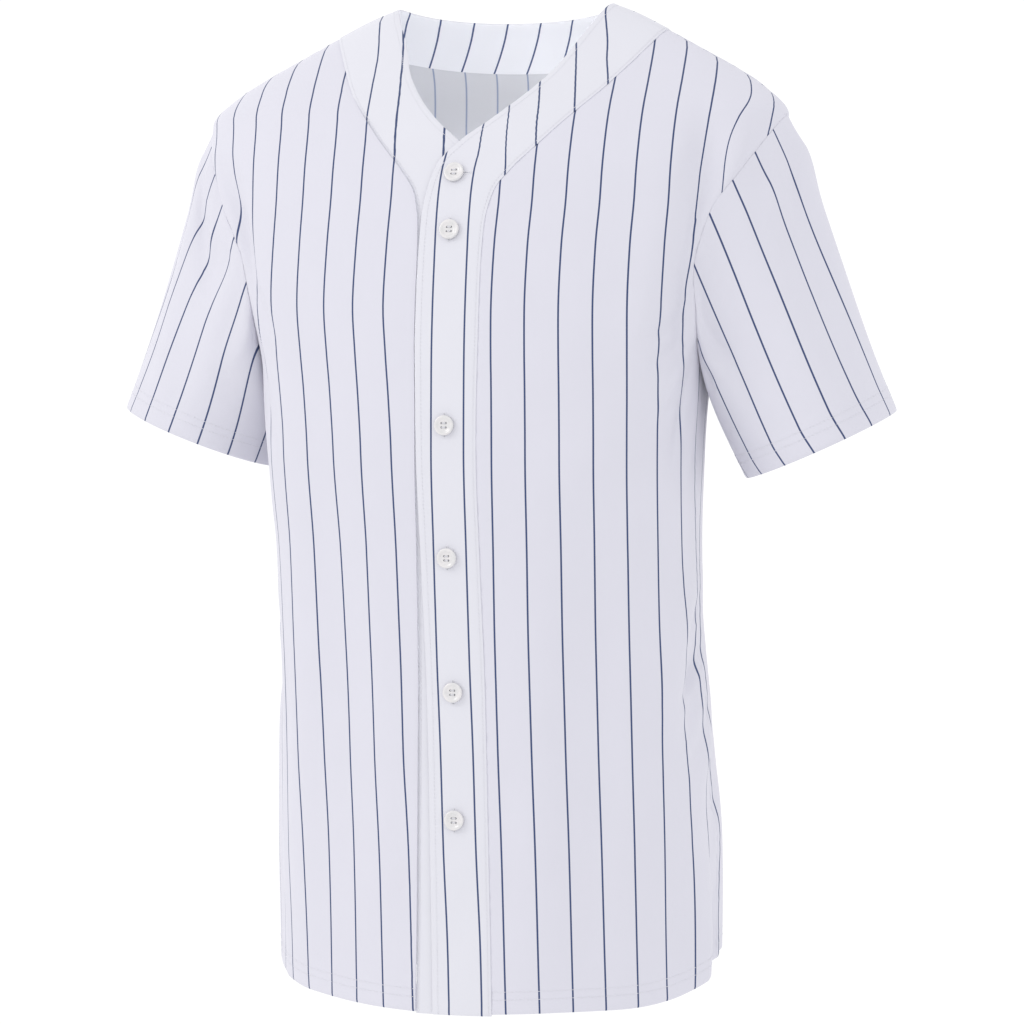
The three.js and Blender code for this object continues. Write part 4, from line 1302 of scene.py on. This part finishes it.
HALF_LENGTH = BUTTONHOLE["half_length"]
HALF_SLIT = HALF_LENGTH - 0.6
HOLE_RING = buttonhole_ring(HALF_LENGTH, BUTTONHOLE["half_width"], BUTTONHOLE["thread"])
# A thin rod in the painted shade colour lies along each buttonhole's cut.
HOLE_SLIT = rod([(-HALF_SLIT, 0, 0), (0, 0, 0), (HALF_SLIT, 0, 0)], 0.22)
for k, (x, z) in enumerate(BUTTONS):
    spot = button_frame(x, z)
    lift = CLOTH["band_proud"] + BUTTON_GAP
    number = str(k + 1)
    solid = "button_" + number
    add_on_front(solid + "_pearl", BUTTON_MESH, spot, lift, pearl, [solid])
    add_on_front(solid + "_thread", button_thread(), spot, lift, thread, [])
    buttonhole_part("buttonhole_" + number, HOLE_RING, x, z, 0.12, k == 0, thread)
    buttonhole_part("slit_" + number, HOLE_SLIT, x, z, -0.05, k == 0, slit)


# Camera, light and floor

AZIMUTH, DISTANCE, HORIZON_Z = 17 * DEGREE, 3.3, -0.328
MM_PER_PIXEL = 0.78
AXIS_COLUMN, HORIZON_ROW, IMAGE_CENTRE = 505.5, 428, 512

camera_data = bpy.data.cameras.new("camera")
camera_data.sensor_width = 36
camera_data.lens = 36 * DISTANCE / (2 * IMAGE_CENTRE * MM_PER_PIXEL * MM)
camera_data.clip_end = 50
camera = bpy.data.objects.new("camera", camera_data)
bpy.context.scene.collection.objects.link(camera)
bpy.context.scene.camera = camera
camera.location = (DISTANCE * math.sin(AZIMUTH), -DISTANCE * math.cos(AZIMUTH), HORIZON_Z)
forward = Vector((-math.sin(AZIMUTH), math.cos(AZIMUTH), 0))
right = Vector((math.cos(AZIMUTH), math.sin(AZIMUTH), 0))
aim = forward * DISTANCE + right * (IMAGE_CENTRE - AXIS_COLUMN) * MM_PER_PIXEL * MM
aim = aim + Vector((0, 0, (HORIZON_ROW - IMAGE_CENTRE) * MM_PER_PIXEL * MM))
camera.rotation_mode = "QUATERNION"
camera.rotation_quaternion = aim.to_track_quat("-Z", "Y")

FLOOR_Z, FLOOR_HALF = -3.0, 20
floor_mesh = bpy.data.meshes.new("floor")
corner_signs = ((-1, -1), (1, -1), (1, 1), (-1, 1))
floor_corners = [(x * FLOOR_HALF, y * FLOOR_HALF, FLOOR_Z) for x, y in corner_signs]
floor_mesh.from_pydata(floor_corners, [], [(0, 1, 2, 3)])
floor = bpy.data.objects.new("floor", floor_mesh)
bpy.context.scene.collection.objects.link(floor)
floor_material, _ = principled("floor_white", (1.0, 1.0, 1.0), 0.9)
floor_mesh.materials.append(floor_material)

world = bpy.data.worlds.new("studio")
world.use_nodes = True
background = world.node_tree.nodes["Background"]
background.inputs["Color"].default_value = (1.0, 1.0, 1.0, 1)
background.inputs["Strength"].default_value = 1.055
bpy.context.scene.world = world
bpy.context.scene.view_settings.view_transform = "Standard"


def soft_light(name, place, size, power, color=(1, 1, 1)):
    data = bpy.data.lights.new(name, "AREA")
    data.shape, data.size, data.energy, data.color = "SQUARE", size, power, color
    obj = bpy.data.objects.new(name, data)
    bpy.context.scene.collection.objects.link(obj)
    obj.location = place
    obj.rotation_mode = "QUATERNION"
    obj.rotation_quaternion = (Vector((0, 0, -0.35)) - Vector(place)).to_track_quat("-Z", "Y")


soft_light("key", (-2.4, -2.0, 1.4), 1.4, 24, (1.0, 0.985, 0.96))
soft_light("fill", (2.6, -1.8, 0.2), 2.2, 4.5, (0.9, 0.93, 1.0))
soft_light("back_left", (-2.2, 2.2, 1.2), 1.6, 8)
soft_light("back_right", (2.4, 2.0, 0.4), 2.0, 3)

# Soft glows in the hollow, as light through the thin cloth gives.
for name, height, power in (("glow_high", -0.23, 0.52), ("glow_low", -0.5, 0.3)):
    glow_data = bpy.data.lights.new(name, "POINT")
    glow_data.energy, glow_data.shadow_soft_size = power, 0.05
    glow = bpy.data.objects.new(name, glow_data)
    glow.location = (0.01, -0.03, height)
    glow.visible_camera = False
    bpy.context.scene.collection.objects.link(glow)
